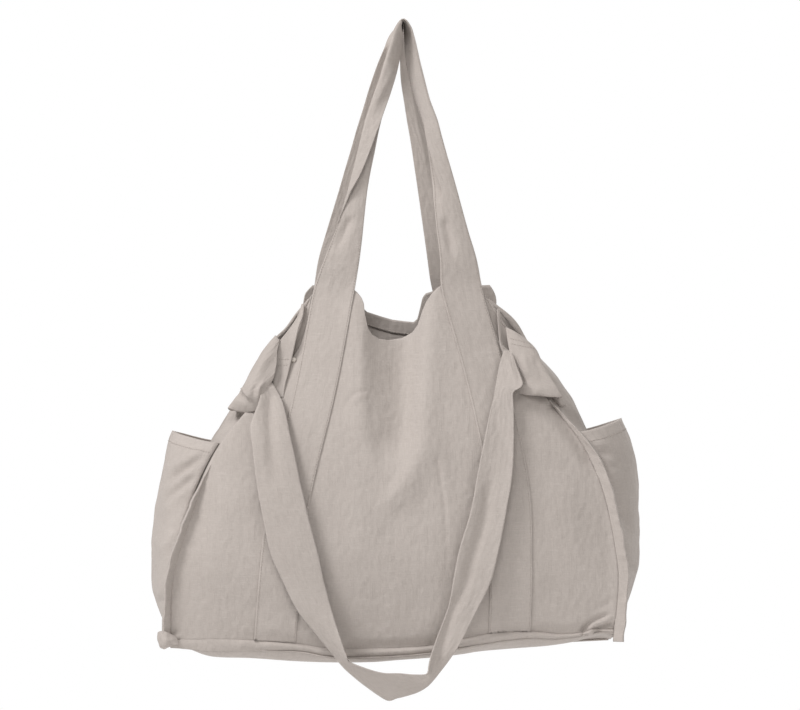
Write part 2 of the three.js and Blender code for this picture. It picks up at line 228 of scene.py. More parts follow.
# Lines along the bottom: the panel's lower edge, the lower edge of the turned seam under it, and the outline
# of the base
hemLines = {
    "front": {
        "crease": [(155, 640), (185, 638.5), (232, 638), (294, 642), (324, 646.4), (343, 647.2), (400, 646.6),
                   (437, 643.4), (462, 637.8), (486, 632.5), (504, 630.7), (528, 630.2), (559, 633),
                   (580, 631.8), (596, 627.5), (630, 630)],
        "seam": [(155, 645), (188, 647.4), (207, 649.8), (249, 650), (300, 651.4), (325, 656), (343, 657.5),
                 (400, 655.6), (437, 652), (462, 648), (486, 643.6), (505, 640.4), (532, 638), (553, 639),
                 (575, 636.6), (596, 633), (630, 634)],
        "bottom": [(155, 641), (179, 643.5), (190, 650), (203, 656.2), (215, 658.6), (249, 659), (294, 662.3),
                   (324, 663.5), (372, 663), (400, 660.4), (430, 658), (453, 655), (468, 652.5), (491, 647.5),
                   (512, 646), (544, 645), (573, 641.4), (592, 637), (605, 633.5), (613, 635), (630, 634)]},
    "back": {
        "crease": [(155, 640), (285, 643), (403, 644.5), (520, 643), (630, 640)],
        "seam": [(155, 645), (285, 650), (403, 652), (520, 650), (630, 645)],
        "bottom": [(155, 641), (180, 644), (215, 655), (300, 660), (403, 661), (500, 657), (565, 650),
                   (606, 637), (630, 635)]},
}


def hemHeight(face, line, across):
    # height of a bottom line at places across the bag
    places = fromPhoto(hemLines[face][line])
    return curveThrough(places[:, 0], places[:, 1])(across)


def turnedSeam(face, across):
    # how far the base seam stands out of the panel: not at all at the front's left end, where both lie flush
    return after(across, body["flush"]) if face == "front" else np.ones(np.shape(across))


# The way each panel faces, its folds and the seed of its crumples
faces = {"front": (-1, frontFolds, 11), "back": (1, backFolds, 29)}


def faceDepth(face, across, up):
    # how far a panel stands from the bag's middle plane: the seam's depth plus a swell that is full in the
    # middle and goes with the cube of the share to the seam, less a pinch along the base seam, plus its folds
    # and small random crumples, which settle towards the side seams
    _, folds, seed = faces[face]
    height = np.clip(up - baseZ, -body["under"], body["top"] + body["over"])
    share = np.clip(np.abs(across - middleLine(height)) / seamHalf(height), 0, 1)
    depth = seamDepth(height) + (fullDepth(height) - seamDepth(height)) * (1 - share ** 3)
    pinched = hump((up - hemHeight(face, "crease", across)) / body["pinchReach"])
    depth = depth - body["pinch"] * turnedSeam(face, across) * pinched
    settle = ease((1 - share) * body["settle"])
    depth = depth + foldRelief(across, up, folds) * (body["seamShare"] + (1 - body["seamShare"]) * settle)
    depth = depth + foldRelief(across, up, edgeFolds[face])
    return depth + crumpled(body["crumples"], across, up, seed) * settle


def onFace(face, across, up, lift=0):
    # places on a panel, lifted off it outwards
    return np.stack([across, faces[face][0] * (faceDepth(face, across, up) + lift), up], -1)


def outward(points):
    # unit normals of a grid: the cross product of its across and along directions
    normal = np.cross(np.gradient(points, axis=1), np.gradient(points, axis=0))
    return normal / np.maximum(np.linalg.norm(normal, axis=-1, keepdims=True), 1e-9)


def raised(points, relief):
    # a grid moved along its own normals
    return points + outward(points) * relief[..., None]


def foldsOn(points, folds):
    # relief of folds at the places of a grid, as seen from the front
    return foldRelief(points[..., 0], points[..., 2], folds)


def turnedTo(points, direction):
    # the same grid, its columns the other way round where its mean normal points away from a direction
    return points[:, ::-1] if (outward(points).mean((0, 1)) @ np.array(direction)) < 0 else points


def acrossAt(share, up):
    # sideways place at a height, for a share that runs from seam to seam
    return middleLine(up - baseZ) + share * seamHalf(up - baseZ)


def lengthsAlong(points, axis):
    # distance walked along one direction of a grid
    steps = np.linalg.norm(np.diff(points, axis=axis), axis=-1)
    return np.insert(np.cumsum(steps, axis=axis), 0, 0, axis=axis)


def gridQuads(rows, columns, closed=False):
    # corners of the squares of a grid, joined round across its columns where it is closed
    order = np.arange(rows * columns).reshape(rows, columns)
    if closed:
        order = np.concatenate([order, order[:, :1]], 1)
    return np.stack([order[:-1, :-1], order[:-1, 1:], order[1:, 1:], order[1:, :-1]], -1).reshape(-1, 4)


def addMesh(name, points, quads, weave=None, seam=None):
    # a mesh in metres from places in millimetres, with its places in the weave and how much of it is seam
    mesh = bpy.data.meshes.new(name)
    mesh.vertices.add(len(points))
    mesh.vertices.foreach_set("co", (np.asarray(points) * 0.001).astype(np.float32).ravel())
    mesh.loops.add(quads.size)
    mesh.loops.foreach_set("vertex_index", quads.astype(np.int32).ravel())
    mesh.polygons.add(len(quads))
    mesh.polygons.foreach_set("loop_start", np.arange(0, quads.size, 4, dtype=np.int32))
    mesh.update(calc_edges=True)
    if weave is not None:
        layer = mesh.uv_layers.new(name="weave")
        layer.data.foreach_set("uv", (weave[quads.ravel()] * 0.001).astype(np.float32).ravel())
    attribute = mesh.attributes.new("seam", "FLOAT", "POINT")
    seam = np.zeros(len(points)) if seam is None else seam
    attribute.data.foreach_set("value", seam.astype(np.float32))
    mesh.shade_smooth()
    mesh.validate()
    piece = bpy.data.objects.new(name, mesh)
    bpy.context.scene.collection.objects.link(piece)
    return piece


def addCloth(name, points, wall, weave=None, seam=None):
    # a closed sheet of linen: the grid is its outer face, the inner face lies a wall behind it, and a rim
    # joins the two
    rows, columns = points.shape[:2]
    inner = points - outward(points) * (np.ones((rows, columns)) * wall)[..., None]
    quads = gridQuads(rows, columns)
    order = np.arange(rows * columns).reshape(rows, columns)
    rim = np.concatenate([order[0, :-1], order[:-1, -1], order[-1, :0:-1], order[:0:-1, 0]])
    ahead, back = np.roll(rim, -1), rows * columns
    rimQuads = np.stack([rim, rim + back, ahead + back, ahead], -1)
    if weave is None:
        weave = np.stack([lengthsAlong(points, 1), lengthsAlong(points, 0)], -1)
    if seam is None:
        seam = np.zeros((rows, columns))
    doubled = lambda grid: np.concatenate([grid.reshape(rows * columns, -1)] * 2)
    places = np.concatenate([points.reshape(-1, 3), inner.reshape(-1, 3)])
    quads = np.concatenate([quads, quads[:, ::-1] + back, rimQuads])
    return dress(addMesh(name, places, quads, doubled(weave), doubled(seam).ravel()), linen)


thread = {"pitch": 3.3, "share": 0.68, "radius": 0.36, "rise": 0.22, "dip": 0.15, "shoulder": 0.22,
          "thin": 0.45, "step": 0.2, "lift": 0.1}


def stitchRow(points, normals):
    # stitches along a path: each is a short rod of four rings that dips into the cloth at both ends
    walked = lengthsAlong(points[None], 1)[0]
    starts = np.arange(thread["pitch"] / 2, walked[-1] - thread["pitch"], thread["pitch"])
    at = lambda values, where: np.stack([np.interp(where, walked, values[:, k]) for k in range(3)], -1)
    shares = np.array([0, thread["shoulder"], 1 - thread["shoulder"], 1])
    places = starts[:, None] + shares * thread["pitch"] * thread["share"]
    centre, normal = at(points, places.ravel()), at(normals, places.ravel())
    normal /= np.linalg.norm(normal, axis=-1, keepdims=True)
    along = at(points, places.ravel() + thread["step"]) - at(points, places.ravel() - thread["step"])
    along /= np.maximum(np.linalg.norm(along, axis=-1, keepdims=True), 1e-9)
    across = np.cross(along, normal)
    lift = np.tile([-thread["dip"], thread["rise"], thread["rise"], -thread["dip"]], len(starts))[:, None]
    size = np.tile([thread["thin"], 1, 1, thread["thin"]], len(starts))[:, None] * thread["radius"]
    centre = centre + normal * lift
    corners = [centre + size * (across * c + normal * s) for c, s in ((1, 0), (0, 1), (-1, 0), (0, -1))]
    rings = np.stack(corners, 1).reshape(len(starts), 4, 4, 3)
    order = np.arange(16).reshape(4, 4)
    turned = np.roll(order, -1, 1)
    walls = np.stack([order[:-1], order[1:], turned[1:], turned[:-1]], -1).reshape(-1, 4)
    single = np.concatenate([walls, order[0][None], order[3][::-1][None]])
    quads = (single[None] + 16 * np.arange(len(starts))[:, None, None]).reshape(-1, 4)
    return rings.reshape(-1, 3), quads


def rowOn(points, pick, lift=thread["lift"]):
    # a row of a grid for stitches: its places, lifted a little off the cloth, and its normals
    normal = outward(points)[pick]
    return points[pick] + normal * lift, normal


def addStitches(name, rows):
    # one piece from several rows of stitches
    made = [stitchRow(points, normals) for points, normals in rows]
    offsets = np.cumsum([0] + [len(points) for points, quads in made[:-1]])
    piece = addMesh(name, np.concatenate([points for points, quads in made]),
                    np.concatenate([quads + o for (points, quads), o in zip(made, offsets)]))
    return dress(piece, sewing)


# Finishes

class Wire:
    # a socket that takes part in sums
    def __init__(self, board, socket):
        self.board, self.socket = board, socket

    def maths(self, operation, first, second):
        return self.board.node("ShaderNodeMath", {"operation": operation}, {0: first, 1: second})

    def __add__(self, other):
        return self.maths("ADD", self, other)

    def __radd__(self, other):
        return self.maths("ADD", other, self)

    def __sub__(self, other):
        return self.maths("SUBTRACT", self, other)

    def __rsub__(self, other):
        return self.maths("SUBTRACT", other, self)

    def __mul__(self, other):
        return self.maths("MULTIPLY", self, other)

    def __rmul__(self, other):
        return self.maths("MULTIPLY", other, self)

    def clipped(self):
        return self.board.node("ShaderNodeClamp", {}, {"Value": self})


class Board:
    # a material and its nodes
    def __init__(self, name):
        self.material = bpy.data.materials.new(name)
        self.material.use_nodes = True
        self.tree = self.material.node_tree
        self.tree.nodes.clear()

    def node(self, kind, settings, values, output=0):
        made = self.tree.nodes.new(kind)
        for key, value in settings.items():
            setattr(made, key, value)
        for key, value in values.items():
            if isinstance(value, Wire):
                self.tree.links.new(value.socket, made.inputs[key])
            else:
                made.inputs[key].default_value = value
        return Wire(self, made.outputs[output]) if made.outputs else None


# Repeats per metre of the weave map, detail, and strengths in colour and in height
linenNoise = {"loose": 150, "thread": (0.6, 0.5), "slub": (700, 30), "slubGain": 6,
              "warpSlub": (0.64, 0.12, 0.4), "weftSlub": (0.62, 0.14, 0.4),
              "streak": (180, 5, 0.05), "mottle": (14, 3.0, 0.5), "seam": 0.12,
              "rumple": ((85, 70, 3.0, 0.8), (150, 90, 0.0, 3.6))}


def linenFinish(name, tones):
    # washed linen: warp and weft as stretched noise on the weave map, slubs, faint streaks, soft mottling,
    # paler seams, and a fine rumple in its height
    board = Board(name)
    weave = board.node("ShaderNodeUVMap", {"uv_map": "weave"}, {})

    def noise(across, along, detail):
        place = board.node("ShaderNodeVectorMath", {"operation": "MULTIPLY"},
                           {0: weave, 1: (across, along, 0)})
        return board.node("ShaderNodeTexNoise", {"noise_dimensions": "2D"},
                          {"Vector": place, "Scale": 1.0, "Detail": detail})

    loose, (tint, depth) = linenNoise["loose"], linenNoise["thread"]
    warp, weft = noise(tones["threads"], loose, 1.0), noise(loose, tones["threads"], 1.0)
    long, short = linenNoise["slub"]
    warpFrom, warpTint, warpDepth = linenNoise["warpSlub"]
    weftFrom, weftTint, weftDepth = linenNoise["weftSlub"]
    warpSlub = ((noise(long, short, 0.0) - warpFrom) * linenNoise["slubGain"]).clipped()
    weftSlub = ((noise(short, long, 0.0) - weftFrom) * linenNoise["slubGain"]).clipped()
    fine, wide, streakTint = linenNoise["streak"]
    streak = noise(fine, wide, 1.0) + noise(wide, fine, 1.0) - 1
    patch, detail, mottleTint = linenNoise["mottle"]
    mottle = noise(patch, patch, detail)
    seam = board.node("ShaderNodeAttribute", {"attribute_name": "seam"}, {}, "Fac")
    shade = 0.5 + (warp - 0.5) * tint + (weft - 0.5) * tint + streak * streakTint
    shade = shade + (mottle - 0.5) * mottleTint
    shade = shade + weftSlub * weftTint - warpSlub * warpTint + seam * linenNoise["seam"]
    colour = board.node("ShaderNodeMix", {"data_type": "RGBA"},
                        {0: shade.clipped(), 6: tones["dark"], 7: tones["light"]}, 2)
    soft, crisp = (noise(*size) * strength for *size, strength in linenNoise["rumple"])
    height = warp * depth + weft * depth + weftSlub * weftDepth + warpSlub * warpDepth + (soft + crisp)
    bump = board.node("ShaderNodeBump", {}, {"Height": height, "Strength": 0.5, "Distance": 0.0004})
    shader = board.node("ShaderNodeBsdfPrincipled", {}, {
        "Base Color": colour, "Roughness": 0.93 - weftSlub * 0.08, "Normal": bump,
        "Sheen Weight": 0.1, "Sheen Roughness": 0.45, "Specular IOR Level": 0.2})
    board.node("ShaderNodeOutputMaterial", {}, {"Surface": shader})
    return board.material


linen = linenFinish("washed_linen", {"dark": (0.375, 0.336, 0.309, 1), "light": (0.475, 0.431, 0.401, 1),
                                     "threads": 1300})
sewing = linenFinish("linen_thread", {"dark": (0.36, 0.32, 0.29, 1), "light": (0.46, 0.415, 0.38, 1),
                                      "threads": 2600})


def resinFinish(name):
    # cast resin: a faint cloud in a cream ground, and fine scuffs in its gloss
    board = Board(name)
    place = board.node("ShaderNodeTexCoord", {}, {}, "Object")
    cloud = board.node("ShaderNodeTexNoise", {}, {"Vector": place, "Scale": 420.0, "Detail": 2.0})
    scuff = board.node("ShaderNodeTexNoise", {}, {"Vector": place, "Scale": 2400.0, "Detail": 2.0})
    colour = board.node("ShaderNodeMix", {"data_type": "RGBA"},
                        {0: cloud, 6: (0.42, 0.38, 0.34, 1), 7: (0.60, 0.55, 0.50, 1)}, 2)
    bump = board.node("ShaderNodeBump", {}, {"Height": scuff, "Strength": 0.15, "Distance": 0.0002})
    shader = board.node("ShaderNodeBsdfPrincipled", {}, {
        "Base Color": colour, "Roughness": 0.30 + scuff * 0.2, "Normal": bump})
    board.node("ShaderNodeOutputMaterial", {}, {"Surface": shader})
    return board.material


resin = resinFinish("cream_resin")


def dress(piece, finish):
    piece.data.materials.clear()
    piece.data.materials.append(finish)
    "stud" if finish == resin else "linen"
    return piece


print("finishes made")

# Front and back panels

panel = {"wall": 1.5, "grid": {"front": (220, 190), "back": (150, 120)}, "seam": 0.96, "hem": 0.97,
         "cornerOut": {"left": 10, "right": 15}, "cornerIn": 4, "backCorner": 0.72, "frontCorner": 0.8,
         "hangRight": (414, 40), "hangLeft": (365, 434, 20), "tuckLeft": (416, 24)}
neckLines = {
    "front": [(313, 285), (354, 289.5), (357.5, 292.5), (361.5, 297.5), (363.8, 303), (364.6, 311),
              (366, 319), (368, 328), (372.5, 335), (379, 338.6), (388, 340), (402, 338), (412, 332.5),
              (417.5, 325), (419.5, 319), (422.5, 310), (426, 302), (431, 294.5), (437, 288), (443, 284),
              (482, 283)],
    "back": [(313, 284), (350, 292), (358, 303), (366, 311), (380, 315.5), (392, 319), (404, 320.6),
             (414, 321.5), (418, 318), (420.5, 308), (423, 297), (426, 292.5), (431, 291), (436, 289),
             (443, 286), (482, 284)],
}


def neckHeight(face, across):
    # height of a panel's top edge, along the line read off the photograph
    line = fromPhoto(neckLines[face])
    return np.interp(across, line[:, 0], line[:, 1])


def topEdge(face, share):
    # height of the top edge at shares from seam to seam: the width there and the height, found in turns
    top = np.full(share.shape, baseZ + body["top"])
    for _ in range(6):
        top = neckHeight(face, acrossAt(share, top))
    return top


def panelGrid(face, columns, rows):
    # across the panel a share runs from seam to seam; up it another runs from the base crease to the top edge
    share = np.linspace(-1, 1, columns + 1) * -faces[face][0]
    bottom = hemHeight(face, "crease", acrossAt(share, baseZ))
    along = np.linspace(0, 1, rows + 1)[:, None]
    up = bottom + (topEdge(face, share) - bottom) * along
    points = onFace(face, acrossAt(share, up), up)
    height = up - baseZ
    if face == "back":  # its top corners hang out past the front's
        hang = around(height, panel["hangRight"]) * beyond(share, panel["backCorner"])
        points[..., 0] += panel["cornerOut"]["right"] * hang
        low, high, fade = panel["hangLeft"]
        hang = ease((high - height) / fade) * ease((height - low) / fade)
        points[..., 0] -= panel["cornerOut"]["left"] * hang * beyond(-share, panel["backCorner"])
    else:
        tucked = around(height, panel["tuckLeft"]) * beyond(-share, panel["frontCorner"])
        points[..., 0] += panel["cornerIn"] * tucked
    return points, share, np.broadcast_to(along, up.shape)


pieces = {}
for face, (columns, rows) in panel["grid"].items():
    points, share, along = panelGrid(face, columns, rows)
    edge = np.maximum(beyond(np.abs(share), panel["seam"]), beyond(along, panel["hem"]))
    pieces[face] = addCloth(face + "_cloth", points, panel["wall"], points[..., [0, 2]], edge)
    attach(pieces[face], "bag")
    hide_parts(face + "_panel")
print("panels made")

# Facings: the turned strip inside each top edge

facing = {"depth": 17, "wall": 0.6, "columns": 120, "rows": 8, "inset": 1.8, "span": 0.95, "below": 0.4,
          "stitchLift": 0.05}
for face, (faceSign, _, _) in faces.items():
    share = np.linspace(-facing["span"], facing["span"], facing["columns"] + 1) * -faceSign
    along = np.linspace(0, 1, facing["rows"] + 1)[:, None]
    up = topEdge(face, share) - facing["depth"] + (facing["depth"] - facing["below"]) * along
    points = onFace(face, acrossAt(share, up), up, -facing["inset"])
    strip = addCloth(face + "_facing", points, facing["wall"], points[..., [0, 2]])
    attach(strip, "bag")
    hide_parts(face + "_top_facing")
    row, normal = rowOn(points, 1, -(facing["wall"] + facing["stitchLift"]))
    stitches = addStitches(face + "_facing_stitching", [(row, -normal)])
    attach(stitches, "bag")
print("facings made")

# Gussets, pockets and base

sides = {"left": -1, "right": 1}
gusset = {"wall": 1.4, "columns": 72, "rows": 110, "girth": 80, "dip": 28, "dipAt": (-0.52, 0.5),
          "hem": 352, "hemDrop": 8, "hemBand": 14, "hemFade": 3, "hemWall": 0.5,
          "roll": 1.9, "rollEnd": 0.97, "rollTaper": 0.03, "rollRows": 90, "rollCorners": 12,
          "plump": {"left": 0.8, "right": 3.4}, "plumpAt": (0.62, 0.4), "free": 0.96,
          "crumples": ((3.2, 70, 0.5, 34, 5), (1.2, 70, 1, 15, 8)),
          "gather": 2.4, "gatherTurn": 9, "gatherRise": 60, "gatherFrom": (250, 90),
          "hollow": {"left": 13, "right": 6}, "hollowTurn": (-0.72, 0.34), "hollowHeight": (264, 24),
          "full": {"left": 0, "right": 4}, "fullHeight": (300, 65),
          "backRoll": {"left": 0, "right": 6}, "backTurn": (0.6, 0.45), "backFrom": (335, 40)}


def sidePoints(side, turn, height, out):
    # out from the seam line; turn runs from -1 at the front seam to 1 at the back seam
    across = middleLine(height) + sides[side] * (seamHalf(height) + out)
    return np.stack([across, turn * (seamDepth(height) - body["layer"]), baseZ + height], -1)


def gussetTop(turn):
    # the hem's height: lowest half way round, rising to both seams, with a dip in its front half
    rise = (body["top"] - gusset["hemDrop"] - gusset["hem"]) * np.abs(turn) ** 1.5
    return gusset["hem"] + rise - gusset["dip"] * around(turn, gusset["dipAt"])


def gussetPoints(side, turn, height):
    # the gusset's outer face: a swell between its two seams, with wrinkles, gathers near the top, a hollow by
    # the front seam, a fuller part and a roll by the back seam
    wrinkle = crumpled(gusset["crumples"], turn, height, sides[side])
    gather = np.sin(turn * gusset["gatherTurn"] + height / gusset["gatherRise"])
    gather = gusset["gather"] * gather * after(height, gusset["gatherFrom"])
    hollow = around(turn, gusset["hollowTurn"]) * around(height, gusset["hollowHeight"])
    hollow = gusset["hollow"][side] * hollow
    fuller = gusset["full"][side] * around(height, gusset["fullHeight"]) * (1 - turn ** 2)
    backRoll = gusset["backRoll"][side] * around(turn, gusset["backTurn"]) * after(height, gusset["backFrom"])
    swell = gussetBulge(height) * (1 - turn ** 2) + (wrinkle + gather) * hump(turn * gusset["free"])
    return sidePoints(side, turn, height, swell + (fuller + backRoll) - hollow)


def addTube(name, centres, normals, radii, corners):
    # a roll of linen along a path: rings set across the path, closed where the radius runs out at both ends
    along = np.gradient(centres, axis=0)
    along /= np.linalg.norm(along, axis=-1, keepdims=True)
    across = np.cross(along, normals)
    turn = np.linspace(0, 2 * np.pi, corners, endpoint=False)[None, :, None]
    spokes = np.cos(turn) * normals[:, None] - np.sin(turn) * across[:, None]
    points = centres[:, None] + radii[:, None, None] * spokes
    rows = len(centres)
    quads = gridQuads(rows, corners, closed=True)
    ends = [np.arange(corners)[::-1], np.arange(corners) + (rows - 1) * corners]
    caps = [np.stack([end[0] + 0 * end[1:-2:2], end[1:-2:2], end[2:-1:2], end[3::2]], -1) for end in ends]
    walked = np.broadcast_to(lengthsAlong(centres[None], 1)[0][:, None], points.shape[:2])
    weave = np.stack([walked, radii[:, None] * turn[..., 0]], -1)
    quads = np.concatenate([quads] + caps)
    return dress(addMesh(name, points.reshape(-1, 3), quads, weave.reshape(-1, 2)), linen)


for side, sign in sides.items():
    turn = np.linspace(-1, 1, gusset["columns"] + 1)[None] * sign
    top = gussetTop(turn)
    height = top * np.linspace(0, 1, gusset["rows"] + 1)[:, None]
    turn = np.broadcast_to(turn, height.shape)
    points = gussetPoints(side, turn, height)
    hem = ease((height - top + gusset["hemBand"]) / gusset["hemFade"])
    wall = gusset["wall"] * (1 + gusset["hemWall"] * hem)
    weave = np.stack([turn * gusset["girth"], height], -1)
    pieces[side] = addCloth(side + "_gusset_cloth", points, wall, weave, hem)
    turn = np.linspace(-gusset["rollEnd"], gusset["rollEnd"], gusset["rollRows"]) * sign
    path = gussetPoints(side, turn[None], gussetTop(turn)[None] - 1)[0]
    taper = np.sqrt(np.clip((gusset["rollEnd"] - np.abs(turn)) / gusset["rollTaper"], 0.01, 1))
    radii = (gusset["roll"] + around(turn, gusset["plumpAt"]) * gusset["plump"][side]) * taper
    normals = np.tile([float(sign), 0, 0], (gusset["rollRows"], 1))
    hemRoll = addTube(side + "_gusset_hem_roll", path, normals, radii, gusset["rollCorners"])
    for part in (pieces[side], hemRoll):
        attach(part, "bag")
    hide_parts(side + "_gusset")
print("gussets made")

pocket = {"wall": 1.4, "columns": 90, "rows": 100, "foot": 0.4, "mouth": {"left": 251, "right": 266},
          "corner": {"left": 237, "right": 250}, "fill": {"left": 1.12, "right": 1.0}, "boxy": 0.7,
          "low": {"left": 6, "right": 0}, "lowHeight": (48, 44), "hem": 13, "hemFade": 2, "hemWall": 0.8,
          "hemTint": 0.5, "slant": 1.8, "slantTurn": 110, "slantSize": 17, "slantHeight": (190, 70),
          "free": 0.97, "loose": 14, "crumples": ((2.2, 85, 0.6, 38, 17), (0.8, 85, 1, 14, 23)),
          "crease": 1.6, "creaseEnd": 0.1, "creaseFade": 0.5, "creaseFrom": (-1, 0.12),
          "stitchDrop": 1.5, "stitchLift": 0.15, "girth": 90}
pocketBulge = curveThrough([0, 30, 60, 96, 156, 222, 256, 272], [3, 9, 17, 26, 36, 53, 64, 70])
pocketFolds = {
    "left": [
        ([(206, 452), (188, 460), (160, 478)], (4.0, 2.5), (5, 8), 0.0, (0.1, 0.4)),
        ([(204, 458), (186, 470), (160, 490)], (-3.6, -2.2), (4, 7), 0.0, (0.1, 0.4)),
        ([(203, 463), (197, 468), (174, 487), (158, 504)], (4.4, 2.5), (5, 8), 0.0, (0.1, 0.4)),
        ([(197, 476), (180, 490), (160, 512)], (-3.4, -2.0), (4, 7), 0.0, (0.1, 0.4)),
        ([(192, 486), (176, 499), (158, 520)], (3.2, 2.0), (5, 8), 0.0, (0.1, 0.4)),
        ([(178, 530), (166, 545), (154, 552)], (2.4, 1.5), (6, 9), 0.0, (0.2, 0.4)),
        ([(170, 590), (162, 600), (154, 600)], (-2.2, -1.4), (5, 6), 0.0, (0.2, 0.4))],
    "right": [
        ([(589, 440), (600, 445), (614, 446)], (2.8, 1.2), (3.5, 6), 0.0, (0.1, 0.5)),
        ([(592, 447), (602, 452), (616, 455)], (-2.6, -1.2), (3, 5), 0.0, (0.1, 0.5)),
        ([(598, 456), (607, 461), (620, 463)], (2.8, 1.2), (3.5, 6), 0.0, (0.1, 0.5)),
        ([(603, 468), (612, 473), (626, 478)], (2.6, 1.4), (4, 7), 0.0, (0.1, 0.5)),
        ([(618, 500), (626, 520), (632, 545)], (-3.0, -1.6), (7, 8), 0.0, (0.3, 0.4)),
        ([(622, 560), (629, 566), (637, 566)], (-2.2, -1.4), (4, 5), 0.0, (0.2, 0.4))],
}
for side, sign in sides.items():
    turn = np.linspace(-1, 1, pocket["columns"] + 1)[None] * sign
    top = pocket["mouth"][side] + (pocket["corner"][side] - pocket["mouth"][side]) * turn ** 2
    height = pocket["foot"] + (top - pocket["foot"]) * np.linspace(0, 1, pocket["rows"] + 1)[:, None]
    turn = np.broadcast_to(turn, height.shape)
    # fullest half way round: a boxy swell, more of it low down, slanting waves behind, wrinkles and creases
    roundness = np.clip(1 - turn ** 2, 0, 1)
    bulge = pocket["fill"][side] * pocketBulge(height) * roundness ** pocket["boxy"]
    bulge = bulge + pocket["low"][side] * around(height, pocket["lowHeight"]) * roundness
    slant = np.sin((height + sign * turn * pocket["slantTurn"]) / pocket["slantSize"])
    slant = pocket["slant"] * slant * around(height, pocket["slantHeight"]) * (turn > 0)
    wrinkle = crumpled(pocket["crumples"], turn, height, sign)
    moved = (slant + wrinkle) * hump(turn * pocket["free"]) * ease(bulge / pocket["loose"])
    points = sidePoints(side, turn, height, body["layer"] + bulge + moved)
    creases = foldsOn(points, pocketFolds[side]) * ease((pocket["creaseEnd"] - turn) / pocket["creaseFade"])
    points = raised(points, pocket["crease"] * (creases * after(turn, pocket["creaseFrom"])))
    hem = ease((height - top + pocket["hem"]) / pocket["hemFade"])
    wall = pocket["wall"] * (1 + pocket["hemWall"] * hem)
    weave = np.stack([turn * pocket["girth"], height], -1)
    piece = addCloth(side + "_pocket_cloth", points, wall, weave, hem * pocket["hemTint"])
    row = int(pocket["rows"] * (1 - (pocket["hem"] - pocket["stitchDrop"]) / pocket["mouth"][side]))
    stitches = addStitches(side + "_pocket_stitching", [rowOn(points, row, pocket["stitchLift"])])
    for part in (piece, stitches):
        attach(part, "bag")
    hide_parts(side + "_side_pocket")
print("pockets made")

base = {"wall": 1.6, "columns": 170, "rows": 70, "inset": 1.5, "lift": 1, "edgePower": 7, "endPower": 14,
        "crumples": ((0.8, 1, 90, 40, 41),), "free": 0.95}
share = np.linspace(-1, 1, base["columns"] + 1)[None]
width = np.linspace(1, -1, base["rows"] + 1)[:, None]  # 1 along the back, -1 along the front
edgeDepth = seamDepth(0) + (fullDepth(0) - seamDepth(0)) * (1 - np.abs(share) ** 3) - base["inset"]
across = middleLine(0) + share * (seamHalf(0) + gussetBulge(0)) + 0 * width
backness = (1 + width) / 2
seamUp, bottomUp = (hemHeight("front", line, across) * (1 - backness)
                    + hemHeight("back", line, across) * backness for line in ("seam", "bottom"))
drop = (1 - np.abs(width) ** base["edgePower"]) * (1 - np.abs(share) ** base["endPower"])
up = seamUp + (bottomUp - seamUp) * drop + base["lift"]
free = hump(width * base["free"]) * hump(share * base["free"])
up = up + crumpled(base["crumples"], across, width, 0) * free
points = np.stack([across, width * edgeDepth, up], -1)
pieces["base"] = addCloth("base_cloth", turnedTo(points, (0, 0, -1)), base["wall"])
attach(pieces["base"], "bag")
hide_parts("base_panel")
print("base made")

# Raised seam flanges

flange = {"wall": 1.7, "rim": 1.3, "rimFrom": (0.72, 0.2), "rimTint": 0.6, "columns": 10, "rows": 240,
          "gap": -1.2, "inside": (165, 120), "tip": 0.12, "taper": 75, "uneven": 0.10, "unevenSize": 13,
          "lean": 0.4, "waves": ((2.0, 0, 27), (1.3, 5, 7))}
flangeRuns = {
    # heights of its two ends, the direction that it stands off in, across and forward, its width, and how far
    # inside the seam its root lies half way up
    ("front", "left"): (8, 226, (-0.50, -0.87), 14, 6), ("front", "right"): (0, 288, (0.90, -0.43), 13, 0),
    ("back", "left"): (2, 286, (-0.75, 0.66), 14, 0), ("back", "right"): (2, 286, (0.75, 0.66), 14, 0),
}
for (face, side), (low, high, (outX, outY), full, inside) in flangeRuns.items():
    # the seam line carried along one direction, with a taper at its top, a wave that grows outwards and small
    # puckers
    height = np.linspace(low, high, flange["rows"] + 1)
    half = seamHalf(height) - inside * around(height, flange["inside"])
    seamLine = middleLine(height) + sides[side] * half
    root = np.stack([seamLine, faces[face][0] * seamDepth(height), baseZ + height], -1)
    seed = faces[face][2] + 7 * sides[side]
    uneven = 1 + flange["uneven"] * crumple(height, height * 0, flange["unevenSize"], seed)
    widths = full * (flange["tip"] + (1 - flange["tip"]) * ease((high - height) / flange["taper"])) * uneven
    share = np.linspace(0, 1, flange["columns"] + 1)
    out = np.array([outX, outY, 0.0])
    points = root[:, None] + out * (flange["gap"] + widths[:, None] * share)[..., None]
    aside = np.cross(out, [0, 0, 1])
    wave = sum(rise * crumple(height, height * 0 + along, size, seed + 1 + k)
               for k, (rise, along, size) in enumerate(flange["waves"]))
    points = points + aside * (wave[:, None] * share ** 1.5)[..., None]
    points = turnedTo(points, (-flange["lean"] * outX, faces[face][0], 0))
    rim = after(np.linalg.norm(points - root[:, None], axis=-1) / widths[:, None], flange["rimFrom"])
    wall = flange["wall"] + flange["rim"] * rim
    piece = addCloth(f"{face}_{side}_flange", points, wall, None, rim * flange["rimTint"])
    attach(piece, "bag")
    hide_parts(f"{face}_{side}_seam_flange")
    float(lengthsAlong(root[None], 1)[0, -1]) * 0.001

